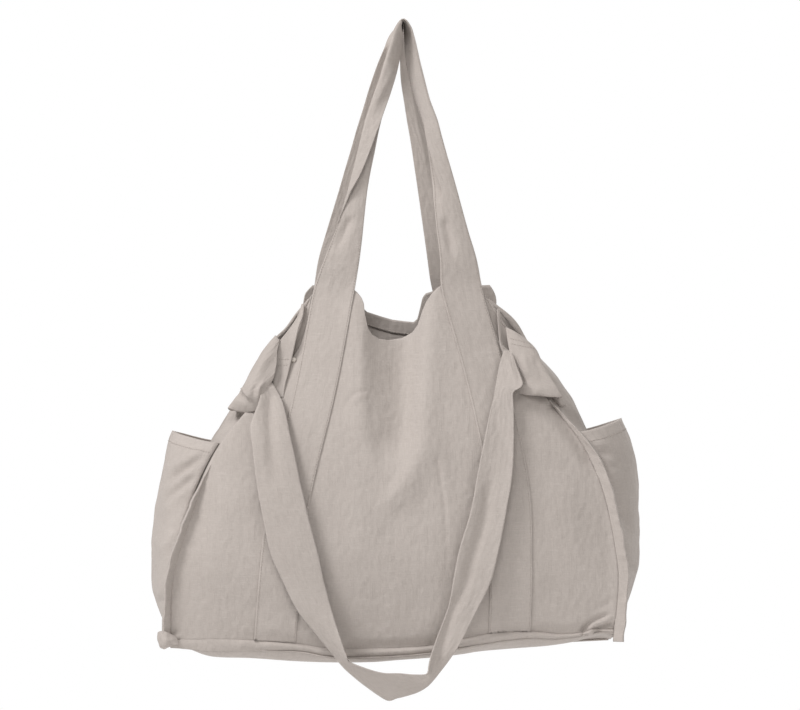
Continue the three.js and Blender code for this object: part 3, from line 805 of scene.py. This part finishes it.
baseSeam = {"wall": 1.6, "swell": 5.5, "columns": 240, "rows": 14, "sunk": 1.4, "behind": 0.4, "over": 1.5,
            "span": 0.998, "puckers": ((0.25, 1, 0, 17, 40), (0.15, 1, 0, 6, 41))}
for face, (faceSign, _, seed) in faces.items():
    # the turned base seam: from behind the panel's crease it swells forward and comes back to the base's edge
    across = acrossAt(np.linspace(-baseSeam["span"], baseSeam["span"], baseSeam["columns"] + 1)[None], baseZ)
    down = np.linspace(0, 1, baseSeam["rows"] + 1)[:, None]
    upper, lower = hemHeight(face, "crease", across) + baseSeam["over"], hemHeight(face, "seam", across)
    pucker = 1 + crumpled(baseSeam["puckers"], across, across, seed)
    stand = turnedSeam(face, across)
    depth = faceDepth(face, across, upper) - baseSeam["behind"] - baseSeam["sunk"] * stand
    depth = depth + (1 + (baseSeam["swell"] - 1) * stand) * pucker * np.sin(np.pi * down ** 0.8)
    points = np.stack([across + 0 * down, faceSign * depth, upper + (lower - upper) * down], -1)
    points = turnedTo(points, (0, faceSign, 0))
    piece = addCloth(face + "_base_seam_roll", points, baseSeam["wall"])
    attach(piece, "bag")
    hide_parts(face + "_base_flange")
print("flanges made")

# Handle tapes: each runs up one face, over the hook and down the same face again

tape = {"width": 50, "wall": 1.4, "columns": 48, "bandRows": 150, "loopRows": 260, "lift": 1.5, "edge": 0.9,
        "lapel": 4.6, "lapelRoot": 0.7, "lapelMost": 0.6, "bend": 0.1,
        "tuck": 6.5, "tuckAt": 0.72, "tuckEnd": 0.8, "tuckBack": 2, "tuckFrom": 0.7,
        "leanIn": {("back", "right"): 10}, "leanFrom": (300, 124), "wave": 0.5, "waveSize": 26,
        "curl": 1.0, "curlLeft": 1.35, "curled": 0.45,
        "legRise": 0.15, "legEnd": 0.49, "legFade": 0.05, "leaving": 26, "smoothings": 40,
        "stitchInset": 2, "rootRows": (-6, -1)}
loops = {
    # outer edge across, down and depth, inner edge across, down and depth, swell; then where the cloth folds
    # over: the folded share and how far over it reaches; then where it tucks under: how far across and how
    # strongly
    "front": [
        (321, 267, -36, 358.5, 267, -40, 1.5), (332, 239, -36, 362, 240, -41, 3),
        (340.4, 215, -37, 364.5, 215, -41, 3, 0.04, 0.04), (347.5, 194, -36, 367, 193, -41, 3, 0.12, 0.2),
        (353, 173, -36, 370.5, 172, -41, 2, 0.3, 0.58), (359, 150, -36, 375, 150, -40, 1.5, 0.42, 0.82),
        (362.5, 134, -36, 378, 134, -39, 1, 0.49, 0.97), (367.5, 113, -37, 383, 113, -35, 1, 0.5, 1),
        (373.5, 94, -39, 387, 94, -31, 1, 0.5, 1), (384, 60, -43, 392.6, 60, -24, 1, 0.5, 1),
        (390.5, 38, -46, 400.4, 41, -14, 1, 0.4, 0.6), (395, 27, -48, 403, 29, -7, 0, 0.2, 0.2),
        (403, 19.5, -50, 403, 20.5, -3, 0), (409.5, 26, -48, 404, 28, -7, 0), (413, 36, -46, 404, 38, -12, 0),
        (420.5, 65, -44, 406.5, 65, -20, 1), (428.5, 96, -43, 414, 96, -25, 2),
        (437.5, 120, -43, 421, 120, -28, 3, 0, 0, 1, 0.3),
        (441.5, 135, -43, 423.5, 135, -30, 3, 0, 0, 0.94, 0.7),
        (445.8, 150, -42, 426, 150, -32, 3, 0, 0, 0.84, 1),
        (450.5, 166, -42, 428.7, 166, -34, 3, 0, 0, 0.78, 1),
        (456.5, 187, -41, 432, 187, -36, 3, 0, 0, 0.66, 0.8),
        (460.5, 202, -41, 433.7, 202, -38, 3, 0, 0, 0.62, 0.25), (468.5, 231, -40, 436.8, 231, -40, 2.5),
        (478, 263, -37, 440.5, 263, -41, 1.5)],
    "back": [
        (316, 264, 38, 352, 266, 39, 0), (322.5, 240, 41, 350, 240, 36, 0), (337, 192, 43, 358, 192, 32, 0),
        (351, 144, 44, 370, 144, 29, 0), (365.5, 96, 45, 385, 96, 25, 0), (377.5, 60, 47, 396, 60, 20, 0),
        (387.5, 36, 49, 401.5, 40, 13, 0), (394.5, 26, 51, 402.6, 28, 7, 0), (403, 19.5, 52, 403, 20.5, 3, 0),
        (409, 26, 51, 402.8, 28, 7, 0), (412.5, 36, 49, 400.2, 44, 13, 0), (417, 65, 47, 400, 65, 20, 0),
        (424, 96, 46, 403.5, 96, 25, 0), (434, 135, 46, 410, 135, 29, 0), (445, 178, 45, 416.5, 178, 33, 0),
        (456, 220, 44, 422.5, 220, 37, 0), (466, 256, 42, 427.5, 256, 40, 0)],
}

handleFolds = {
    "front": [
        ([(393, 58), (387, 78), (378, 98), (372, 120)], (-3.5, -2.0), (4, 4), 0.0, (0.2, 0.4)),
        ([(353, 214), (347, 225), (340, 240), (333, 258)], (-4.5, -3.0), (5, 6), 0.0, (0.3, 0.4)),
        ([(443, 212), (447, 228), (451, 246), (455, 264)], (-5.0, -3.0), (5, 6.5), 0.0, (0.3, 0.4))],
    "back": [],
}


def rulingsFrom(table):
    # edges in millimetres from rows of photo places, with no fold and no tuck where a row gives none
    table = np.array([list(row) + [0, 0, 1, 0][len(row) - 7:] for row in table], float)
    (outX, outZ), (inX, inZ) = fromPhoto(table[:, :2]).T, fromPhoto(table[:, 3:5]).T
    edges = np.stack([outX, table[:, 2], outZ, inX, table[:, 5], inZ], -1)
    return np.concatenate([edges, table[:, 6:]], 1)


def ribbonThrough(rulings, columns, rows, spare=0):
    # a ribbon from an outer to an inner edge. Across it a place runs straight from edge to edge, doubles back
    # in front over the folded share, and steps back under itself at a tuck; a swell, full half way, lifts it
    walked = lengthsAlong(((rulings[:, :3] + rulings[:, 3:6]) / 2)[None], 1)[0]
    found = curveThrough(walked, rulings)(np.linspace(walked[spare], walked[-1 - spare], rows + 1))
    outer, inner = found[:, None, :3], found[:, None, 3:6]
    swell, lapel, reach, crease, tuck = (found[:, k, None] for k in range(6, 11))
    share, lapel = np.linspace(0, 1, columns + 1)[None], np.clip(lapel, 1e-4, tape["lapelMost"])
    across = np.where(share < lapel, reach * (1 - share / lapel), (share - lapel) / (1 - lapel))
    over = tape["lapelRoot"] + np.clip(1 - share / lapel, 0, 1)  # higher towards its free edge
    forward = tape["lapel"] * over * ease((lapel - share) / tape["bend"] + 0.5) * np.clip(reach * 4, 0, 1)
    start, end = tape["tuckAt"], tape["tuckEnd"]
    deepest = crease - (end - start) * tape["tuckBack"]
    inward = crease - (share - start) * tape["tuckBack"]
    onward = deepest + (share - end) / (1 - end) * (1 - deepest)
    stepped = np.where(share < start, share / start * crease, np.where(share < end, inward, onward))
    across = across + tuck * (stepped - share)
    sunk = tape["tuck"] * tuck * ease((share - tape["tuckFrom"]) / tape["bend"])
    forward = forward - sunk + swell * 4 * share * (1 - share)
    for _ in range(3):
        for values in (across, forward):
            values[:, 1:-1] = (values[:, :-2] + 2 * values[:, 1:-1] + values[:, 2:]) / 4
    front = outward(outer + (inner - outer) * share[..., None]).mean(1, keepdims=True)
    front /= np.linalg.norm(front, axis=-1, keepdims=True)
    return outer + (inner - outer) * across[..., None] + front * forward[..., None]


def tapeWeave(points):
    # weave places on a tape: across its cut width, and along by the mean length walked
    rows, columns = points.shape[:2]
    across = np.broadcast_to(np.linspace(0, tape["width"], columns), (rows, columns))
    return np.stack([across, np.broadcast_to(lengthsAlong(points, 0).mean(1)[:, None], (rows, columns))], -1)


def selvedges(points):
    # 1 along both edges of a tape, easing to 0 inside them
    edge = np.abs(np.linspace(-1, 1, points.shape[1]))[None] + np.zeros((len(points), 1))
    return beyond(edge, tape["edge"])


for face, (faceSign, _, seed) in faces.items():
    share = np.linspace(0, 1, tape["columns"] + 1)
    height = np.linspace(-1, body["top"] - 1, tape["bandRows"] + 1)[:, None]
    bands, roots = {}, {}
    for side, sign in sides.items():
        offset = bandCentre(height) + (0.5 - share) * tape["width"]  # outer edge first
        offset = offset - tape["leanIn"].get((face, side), 0) * after(height, tape["leanFrom"])
        across = middleLine(height) + sign * offset
        low = hemHeight(face, "crease", across) + 1
        lifted = np.maximum(baseZ + height + 0 * across, low)
        bands[side] = onFace(face, across, lifted, tape["lift"])
        plain = [0, 0, 0, 1, 0]  # no swell, fold or tuck
        ends = [bands[side][k] for k in tape["rootRows"]]
        roots[side] = [np.concatenate([end[0], end[-1], plain]) for end in ends]
    rulings = np.concatenate([roots["left"], rulingsFrom(loops[face]), roots["right"][::-1]])
    loop = ribbonThrough(rulings, tape["columns"], tape["loopRows"], 1)
    wave = crumple(lengthsAlong(loop, 0), lengthsAlong(loop, 1), tape["waveSize"], seed + 3)
    wave = tape["wave"] * wave * np.sin(np.linspace(0, np.pi, len(loop)))[:, None]
    loop = raised(loop, wave + foldsOn(loop, handleFolds[face]))
    if face == "back":  # the outer edge of its left leg curls forward, the inner edge of its right leg back
        walk = np.linspace(0, 1, len(loop))[:, None]
        leftLeg, rightLeg = (ease(w / tape["legRise"]) * ease((tape["legEnd"] - w) / tape["legFade"])
                             for w in (walk, 1 - walk))
        turned = tape["curl"] * rightLeg * np.clip(share - 1 + tape["curled"], 0, 1)
        turned = turned - tape["curlLeft"] * leftLeg * np.clip(tape["curled"] - share, 0, 1)
        loop[..., 1] += turned * (loop[:, :1, 1] - loop[:, -1:, 1])
    points = np.concatenate([bands["left"], loop[1:-1], bands["right"][::-1]])
    bends = len(bands["left"]), len(points) - len(bands["right"])
    leaving = np.maximum(*(around(np.arange(len(points)), (k, tape["leaving"])) for k in bends))
    leaving = leaving[1:-1, None, None]
    for _ in range(tape["smoothings"]):  # it leaves the bag smoothly: half way to the mean of the neighbours
        points[1:-1] += leaving * ((points[:-2] + points[2:]) / 2 - points[1:-1]) * 0.5
    if faceSign > 0:
        points = points[:, ::-1]
    piece = addCloth(face + "_handle_tape", points, tape["wall"], tapeWeave(points), selvedges(points))
    rows = [rowOn(points, np.s_[:, k]) for k in (tape["stitchInset"], tape["columns"] - tape["stitchInset"])]
    stitches = addStitches(face + "_handle_stitching", rows)
    for part in (piece, stitches):
        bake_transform(part)
    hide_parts(face + "_handle", f"{face}_left_handle_band", f"{face}_right_handle_band")
    float(lengthsAlong(points, 0)[-1].mean()) * 0.001
    print(face, "handle tape length", round(float(lengthsAlong(points, 0)[-1].mean())))

# Shoulder strap

strap = {"wall": 1.6, "columns": 24, "rows": 300, "stand": 10, "settle": 70, "plumb": -117, "fullest": 110,
         "rootStand": {"left": 8, "right": 7}, "rootHeight": {"left": -430, "right": -405},
         "wave": 0.5, "waveSize": 24}
strapTable = [
    # outer edge across, down, inner edge across, down, how far each edge stands forward of the middle, swell
    (263.7, 384.5, 270.8, 380, 0, 0, 1), (260.6, 391, 277, 390, 0, 0, 2), (260.6, 398.5, 282, 399.5, 0, 0, 2),
    (257.5, 407.5, 285, 408, 0, 0, 2), (252.5, 420, 288, 420.5, 0, 0, 2), (250.8, 428, 289.8, 429, 0, 0, 2),
    (252.5, 441, 293, 443, 0, 0, 2), (258, 484, 302, 484, -1, 1, 2),
    (264, 516, 310, 518, -1, 1, 2), (271.5, 551, 319, 552, -2, 1, 2), (284, 580, 325, 580, -3, 2, 2),
    (298, 608, 332, 606, -4, 3, 2), (314, 629, 337.5, 625, -6, 6, 1), (330, 648, 342, 640, -9, 9, 0),
    (348, 669, 346, 652, -12, 10, 0), (385, 697, 350, 659, -10, 8, 0), (398, 695.5, 366, 665.5, -9, 9, 0),
    (408, 693, 383, 670, -9, 9, 0), (418, 689.5, 399, 670.5, -9, 9, 0), (427, 684, 415, 672, -9, 10, 0),
    (434, 677, 427, 671, -8, 11, -1), (442, 667, 430, 661, -5, 9, -1), (452, 653, 433, 648, 0, 6, -1),
    (461, 638, 437, 636, 3, 4, -1), (477, 606, 449, 604, 3, 4, -1), (490, 579, 453, 577, 3, 4, -2),
    (498, 547, 459, 547, 3, 3, -3), (505, 511, 470, 511, 2, 3, -3), (511, 476, 476.5, 476, 2, 2, -3),
    (513, 440, 483.5, 440, 1, 2, -2), (513.2, 410, 490, 410, 0, 1, -1), (512.5, 397, 493.5, 396, 2, 0, 0),
    (513, 391.5, 494.3, 390.5, 5, 0, 0), (519.5, 387, 495.2, 386, 9, 0, 0), (522.3, 384, 496, 381.5, 9, 0, 0),
    (520.5, 376.5, 497.6, 373, 6, 0, 0), (516.5, 366, 499.5, 364, 3, 0, 0), (513.3, 356, 501.8, 356, 1, 0, 0),
    (511, 350.5, 503.8, 350, 0, 0, 0)]
strapFolds = [
    ([(270, 387), (271, 408), (271, 428), (273, 450), (276, 474), (280, 500)],
     (-6.0, -3.0), (7, 9), 0.0, (0.1, 0.4)),
    ([(262.5, 392), (260, 404), (256, 418), (256, 440)], (1.8, 1.0), (3, 4), 0.0, (0.2, 0.4)),
    ([(493, 465), (488, 490), (483, 520), (473, 550), (465, 580), (453, 605), (441, 643), (432, 676)],
     (-4, -5), (7, 6), 0.0, (0.2, 0.1)),
    ([(509, 356), (512, 370), (515, 382)], (1.6, 1.6), (4, 4), 0.0, (0.3, 0.3))]
rows = []
for outAcross, outDown, inAcross, inDown, forwardOut, forwardIn, swell in strapTable:
    # it lies a stand in front of the panel and its band, less near its sewn ends, and hangs plumb below the
    # fullest part of the panel
    outer, inner = fromPhoto([(outAcross, outDown), (inAcross, inDown)])
    middle = (outer + inner) / 2
    spots = np.stack([outer, middle, inner], -1)
    side = "left" if middle[0] < 0 else "right"
    settled = float(ease((strap["rootHeight"][side] - middle[1]) / strap["settle"]))
    stand = strap["rootStand"][side] + (strap["stand"] - strap["rootStand"][side]) * settled
    panelDepth = faceDepth("front", spots[0], np.maximum(spots[1], baseZ + strap["fullest"])).max()
    rest = max(-panelDepth - tape["lift"] - stand, strap["plumb"])
    rows.append((inAcross, inDown, rest - forwardIn, outAcross, outDown, rest - forwardOut, swell))
points = ribbonThrough(rulingsFrom(rows), strap["columns"], strap["rows"])
wave = crumple(lengthsAlong(points, 0), lengthsAlong(points, 1), strap["waveSize"], 77)
points = raised(points, strap["wave"] * wave + foldsOn(points, strapFolds))
piece = addCloth("strap_tape", points, strap["wall"], tapeWeave(points), selvedges(points))
root, slope = np.array([-0.15948, 0, -0.430]), np.array([0.0495, 0, -0.9988])
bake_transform(piece)
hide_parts("shoulder_strap")
print("strap length", round(float(lengthsAlong(points, 0)[-1].mean())))

# Sewn strap ends at the side slits

strapEnd = {"wall": 1.6, "columns": 12, "rows": 80, "stitched": {"left": (48, 53), "right": (52, 57)},
            "flat": {"left": (0.016, 0.115), "right": (0.01, 0.07)}}
endTable = {
    "left": [(301.4, 303.5, -31, 303.2, 304, -34, 0), (298, 314.5, -34, 302.2, 315, -38, 0.5),
             (291.3, 325.5, -37, 298.3, 326, -42, 1), (284.2, 335, -40, 296.2, 336, -45, 1),
             (279, 342, -42, 294.8, 343, -47, 1), (275.5, 359, -47, 291.5, 359, -49.5, 1),
             (272.5, 373, -52, 288.5, 371.5, -53.5, 1), (274, 386, -58, 285, 386, -58.5, 0.5),
             (280, 397, -62, 283.5, 397.5, -62, 0)],
    "right": [(500.3, 309, -31, 497.6, 309, -33, 0), (501.6, 328, -36, 498.8, 328, -39, 0.3),
              (503.6, 345, -42, 500.4, 345, -45, 0.5), (510, 352, -46, 503, 353, -48, 0.5),
              (516, 368, -50, 509, 368, -52, 0.3)],
}
for side in sides:
    points = ribbonThrough(rulingsFrom(endTable[side]), strapEnd["columns"], strapEnd["rows"])
    points = turnedTo(points, (0, -1, 0))
    piece = addCloth(side + "_strap_anchor", points, strapEnd["wall"])
    rows = [rowOn(points, np.s_[k, 1:-1]) for k in strapEnd["stitched"][side]]
    stitches = addStitches(side + "_strap_anchor_stitching", rows)
    for part in (piece, stitches):
        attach(part, "bag")
    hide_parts(side + "_strap_end")
print("strap ends made")

# Slack tops of the gussets: the cloth swells out, drops over the front corner and turns back under itself

slackTops = {
    # rows from the hem down to the lip and back under; columns from the front corner round to the side
    "left": [
        [(280, 340, -42), (278, 338, -43), (276, 336, -40), (274.5, 336, -32), (273, 346, -18), (275, 356, -5)],
        [(277.5, 350, -49), (271, 350, -51), (265.5, 350.5, -48), (261, 353, -36), (262.5, 359, -20),
         (268, 364, -8)],
        [(277, 362, -55), (265.5, 363, -58), (257.5, 365, -56), (251, 369.5, -43), (254, 373, -24),
         (261, 374, -10)],
        [(275, 373, -60), (262.5, 377, -66), (252.5, 380, -65), (243.5, 385.5, -52), (246, 388, -28),
         (255, 384, -12)],
        [(272, 382, -63), (260, 391, -69), (247.5, 396, -67), (235, 398, -51), (239, 402, -31),
         (249, 395, -13)],
        [(263, 395, -64), (258.5, 409.5, -67), (243, 412, -57), (228, 408, -45), (234.5, 410, -32),
         (245, 401, -14)],
        [(264, 391, -58), (257, 402, -59), (244, 406, -51), (233, 405, -40), (237, 406, -29), (246, 399, -12)],
        [(267, 379, -53), (258, 388, -53), (247, 394, -49), (239, 396, -38), (242, 399, -26), (249, 393, -11)]],
    "right": [
        [(505.5, 327, -44), (511.5, 329.5, -48), (518, 333, -49), (525, 337.3, -47), (525.5, 339.5, -39),
         (527, 347, -26), (524, 357, -10)],
        [(508, 343, -49), (517, 345, -54), (527, 347, -56), (535.5, 348.5, -53), (535, 350, -45),
         (533.5, 357, -30), (529, 363, -10)],
        [(510.5, 361, -54), (522, 362, -61), (533, 364, -63), (543, 365.5, -60), (542.5, 367, -52),
         (540, 371, -35), (535, 373, -12)],
        [(514, 379, -58), (528, 380, -66), (541, 382, -68), (553, 381.5, -66), (552.5, 382, -58),
         (550, 385, -38), (542, 382, -14)],
        [(512, 388, -60), (530, 389, -68), (544, 391, -70), (558.5, 391, -68), (558, 391.5, -60),
         (555, 394, -40), (547, 390, -16)],
        [(511.5, 393, -59), (530, 395, -66), (544, 396.5, -67), (561, 397, -66), (560, 397.5, -58),
         (557, 399, -38), (549, 394, -15)],
        [(513, 390, -54), (531, 391.5, -58), (544, 393, -59), (556, 394.5, -57), (555, 395, -50),
         (552, 396, -33), (546, 391, -14)],
        [(516, 382, -50), (531, 383, -52), (543, 386, -52), (552, 388, -49), (551, 389, -43), (548, 391, -28),
         (543, 387, -12)]],
}
slackFolds = {
    "left": [([(242.5, 388), (250, 399), (257.5, 408)], (5.6, 4.2), (3.2, 3.0), 0.5, (0.1, 0.15)),
             ([(239, 391), (245.5, 400), (252, 408)], (-5, -3.6), (4, 4), 0.0, (0.25, 0.2)),
             ([(266, 381), (260.5, 386), (259, 393), (260.5, 399)], (2.6, 2.0), (2.2, 2.2), 0.0, (0.2, 0.2)),
             ([(263.5, 386), (262.5, 391), (263, 397)], (-2.4, -2.0), (2, 2), 0.0, (0.2, 0.2)),
             ([(257, 384), (254, 390), (255, 398)], (-1.8, -1.4), (2.4, 2.4), 0.0, (0.3, 0.3)),
             ([(270, 352), (262, 366), (257, 378)], (1.6, 1.2), (5, 5), 0.0, (0.3, 0.3))],
    "right": [([(522, 352), (526, 366), (528, 380)], (1.8, 1.2), (4, 5), 0.0, (0.3, 0.4)),
              ([(512.5, 352), (516.5, 366), (521, 378), (524, 385)], (-2.4, -2.4), (3, 3), 0.0, (0.2, 0.2)),
              ([(532, 356), (540, 372), (546, 388)], (-1.4, -1.0), (5, 6), 0.0, (0.3, 0.4))],
}


def patchThrough(control, rows, columns):
    # a smooth patch through a net of places: a curve down each column of the net, then one across each row
    net = np.array(control, float)
    sideways, up = np.moveaxis(fromPhoto(net[..., :2]), -1, 0)
    net = np.stack([sideways, net[..., 2], up], -1)
    down = curveThrough(np.arange(net.shape[0]), net)(np.linspace(0, net.shape[0] - 1, rows + 1))
    across = curveThrough(np.arange(net.shape[1]), down.transpose(1, 0, 2))
    return across(np.linspace(0, net.shape[1] - 1, columns + 1)).transpose(1, 0, 2)


slack = {"rows": 84, "columns": 70, "wall": 1.4, "stitched": {"left": (), "right": (9, 13)},
         "turned": (0.35, 0.1), "wave": 0.6, "waveSize": 13}
for side, sign in sides.items():
    points = patchThrough(slackTops[side], slack["rows"], slack["columns"])[::-1]
    if sign < 0:
        points = points[:, ::-1]
    wave = crumple(lengthsAlong(points, 1), lengthsAlong(points, 0), slack["waveSize"], 53 + sign)
    upper = after(np.linspace(0, 1, slack["rows"] + 1)[:, None], slack["turned"])  # not turned under
    points = raised(points, slack["wave"] * wave + upper * foldsOn(points, slackFolds[side]))
    piece = addCloth(side + "_gusset_slack", points, slack["wall"])
    half = slack["columns"] // 2
    rows = [rowOn(points, np.s_[-k, 3:half]) for k in slack["stitched"][side]]
    parts = [piece] + ([addStitches(side + "_gusset_slack_stitching", rows)] if rows else [])
    for part in parts:
        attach(part, "bag")
    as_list(parts[1:])

tab = {"wall": 1.4, "rows": 16, "columns": 16, "net": [
    [(552, 396, -46), (557, 396.5, -49), (562, 397, -45)],
    [(554, 401, -47), (559, 401, -51), (564.5, 401, -46)],
    [(556.5, 405, -46), (561, 405.5, -50), (566, 405, -45)],
    [(557.5, 406.5, -42), (561.5, 407, -45), (565.5, 406.5, -41)]]}
points = turnedTo(patchThrough(tab["net"], tab["rows"], tab["columns"]), (0, -1, 0))
piece = addCloth("right_gusset_tab", points, tab["wall"])
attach(piece, "bag")
print("slack tops made")

# Seam corner that turns forward at the lower left

corner = {"wall": 1.5, "rows": 30, "columns": 40, "wave": 0.8, "waveSize": 6, "net": [
    [(159.2, 630.5, -90), (163, 629, -97), (167.5, 629.5, -102), (172, 631.5, -101), (177, 634, -97)],
    [(158.6, 637, -91), (163.5, 637, -102), (168, 637.5, -105), (173, 637, -103), (179, 637.5, -98)],
    [(160, 643, -91), (164.5, 644, -101), (169.5, 643, -103), (174, 641, -100), (179.5, 640.5, -96)],
    [(161.5, 646.3, -88), (165.5, 647, -96), (170, 645.5, -98), (174.5, 643.5, -95), (179.5, 642.5, -91)]]}
points = patchThrough(corner["net"], corner["rows"], corner["columns"])
wave = crumple(lengthsAlong(points, 1), lengthsAlong(points, 0), corner["waveSize"], 61)
points = turnedTo(raised(points, corner["wave"] * wave), (0, -1, 0))
piece = addCloth("left_seam_corner", points, corner["wall"])
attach(piece, "bag")
print("seam corner made")

# Press studs keep their solids

for face in faces:
    for side in sides:
        dress(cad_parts[f"{face}_{side}_press_stud"], resin)

# Stage, light and camera

stage = {"floor": -1.02, "floorSize": 4.8, "distance": 7.0, "aim": (-3.6, -402), "viewWidth": 960,
         "sensor": 36.0, "frontAt": 0.05, "lampsAim": (0, 0, -0.42), "sky": (1.0, 0.965, 0.925, 1),
         "skyStrength": 0.37}
floorGrid = np.stack(np.meshgrid(np.linspace(-1, 1, 3), np.linspace(-1, 1, 3)), -1) * stage["floorSize"] * 500
floorPoints = np.concatenate([floorGrid, np.full(floorGrid.shape[:2] + (1,), stage["floor"] * 1000)], -1)
floor = addMesh("floor", floorPoints.reshape(-1, 3), gridQuads(3, 3))
board = Board("pale_floor")
place = board.node("ShaderNodeTexCoord", {}, {}, "Object")
cloud = board.node("ShaderNodeTexNoise", {}, {"Vector": place, "Scale": 3.0, "Detail": 2.0})
colour = board.node("ShaderNodeMix", {"data_type": "RGBA"},
                    {0: cloud, 6: (0.90, 0.90, 0.90, 1), 7: (0.94, 0.94, 0.94, 1)}, 2)
shader = board.node("ShaderNodeBsdfPrincipled", {}, {"Base Color": colour, "Roughness": 0.8})
board.node("ShaderNodeOutputMaterial", {}, {"Surface": shader})
floor.data.materials.append(board.material)

scene = bpy.context.scene
scene.view_settings.view_transform = "Standard"
world = bpy.data.worlds.new("studio")
world.use_nodes = True
nodes, links = world.node_tree.nodes, world.node_tree.links
nodes["Background"].inputs["Color"].default_value = stage["sky"]
nodes["Background"].inputs["Strength"].default_value = stage["skyStrength"]
seen = nodes.new("ShaderNodeLightPath")  # the backdrop itself is plain white
plain = nodes.new("ShaderNodeBackground")
plain.inputs["Color"].default_value = (1, 1, 1, 1)
mixed = nodes.new("ShaderNodeMixShader")
links.new(seen.outputs["Is Camera Ray"], mixed.inputs[0])
links.new(nodes["Background"].outputs[0], mixed.inputs[1])
links.new(plain.outputs[0], mixed.inputs[2])
links.new(mixed.outputs[0], nodes["World Output"].inputs["Surface"])
scene.world = world

lamps = {
    # place, size, power, tint
    "key": ((-2.75, -1.6, 2.76), 1.6, 158, (1.0, 0.995, 1.0)),
    "top": ((-0.4, -3.2, 2.6), 1.6, 38, (1.0, 0.99, 0.99)),
    "fill": ((2.4, -3.8, 0.6), 3.0, 26, (1.0, 0.99, 0.985)),
    "back": ((2.0, 3.0, 2.0), 1.6, 84, (1.0, 1.0, 1.0)),
}
target = Vector(stage["lampsAim"])
for name, (place, size, power, tint) in lamps.items():
    lamp = bpy.data.lights.new(name, "AREA")
    lamp.shape, lamp.size, lamp.energy, lamp.color = "DISK", size, power, tint
    lampObject = bpy.data.objects.new(name, lamp)
    lampObject.location = place
    lampObject.rotation_euler = (target - Vector(place)).to_track_quat("-Z", "Y").to_euler()
    scene.collection.objects.link(lampObject)

camera = bpy.data.cameras.new("camera")
camera.sensor_fit, camera.sensor_width = "HORIZONTAL", stage["sensor"]
# focal length: the sensor's width times the distance to the front, over the width in view there
camera.lens = stage["sensor"] * (stage["distance"] - stage["frontAt"]) / (stage["viewWidth"] * 0.001)
cameraObject = bpy.data.objects.new("camera", camera)
cameraObject.location = (stage["aim"][0] * 0.001, -stage["distance"], stage["aim"][1] * 0.001)
cameraObject.rotation_euler = (np.pi / 2, 0, 0)
scene.collection.objects.link(cameraObject)
scene.camera = cameraObject
print("stage set")
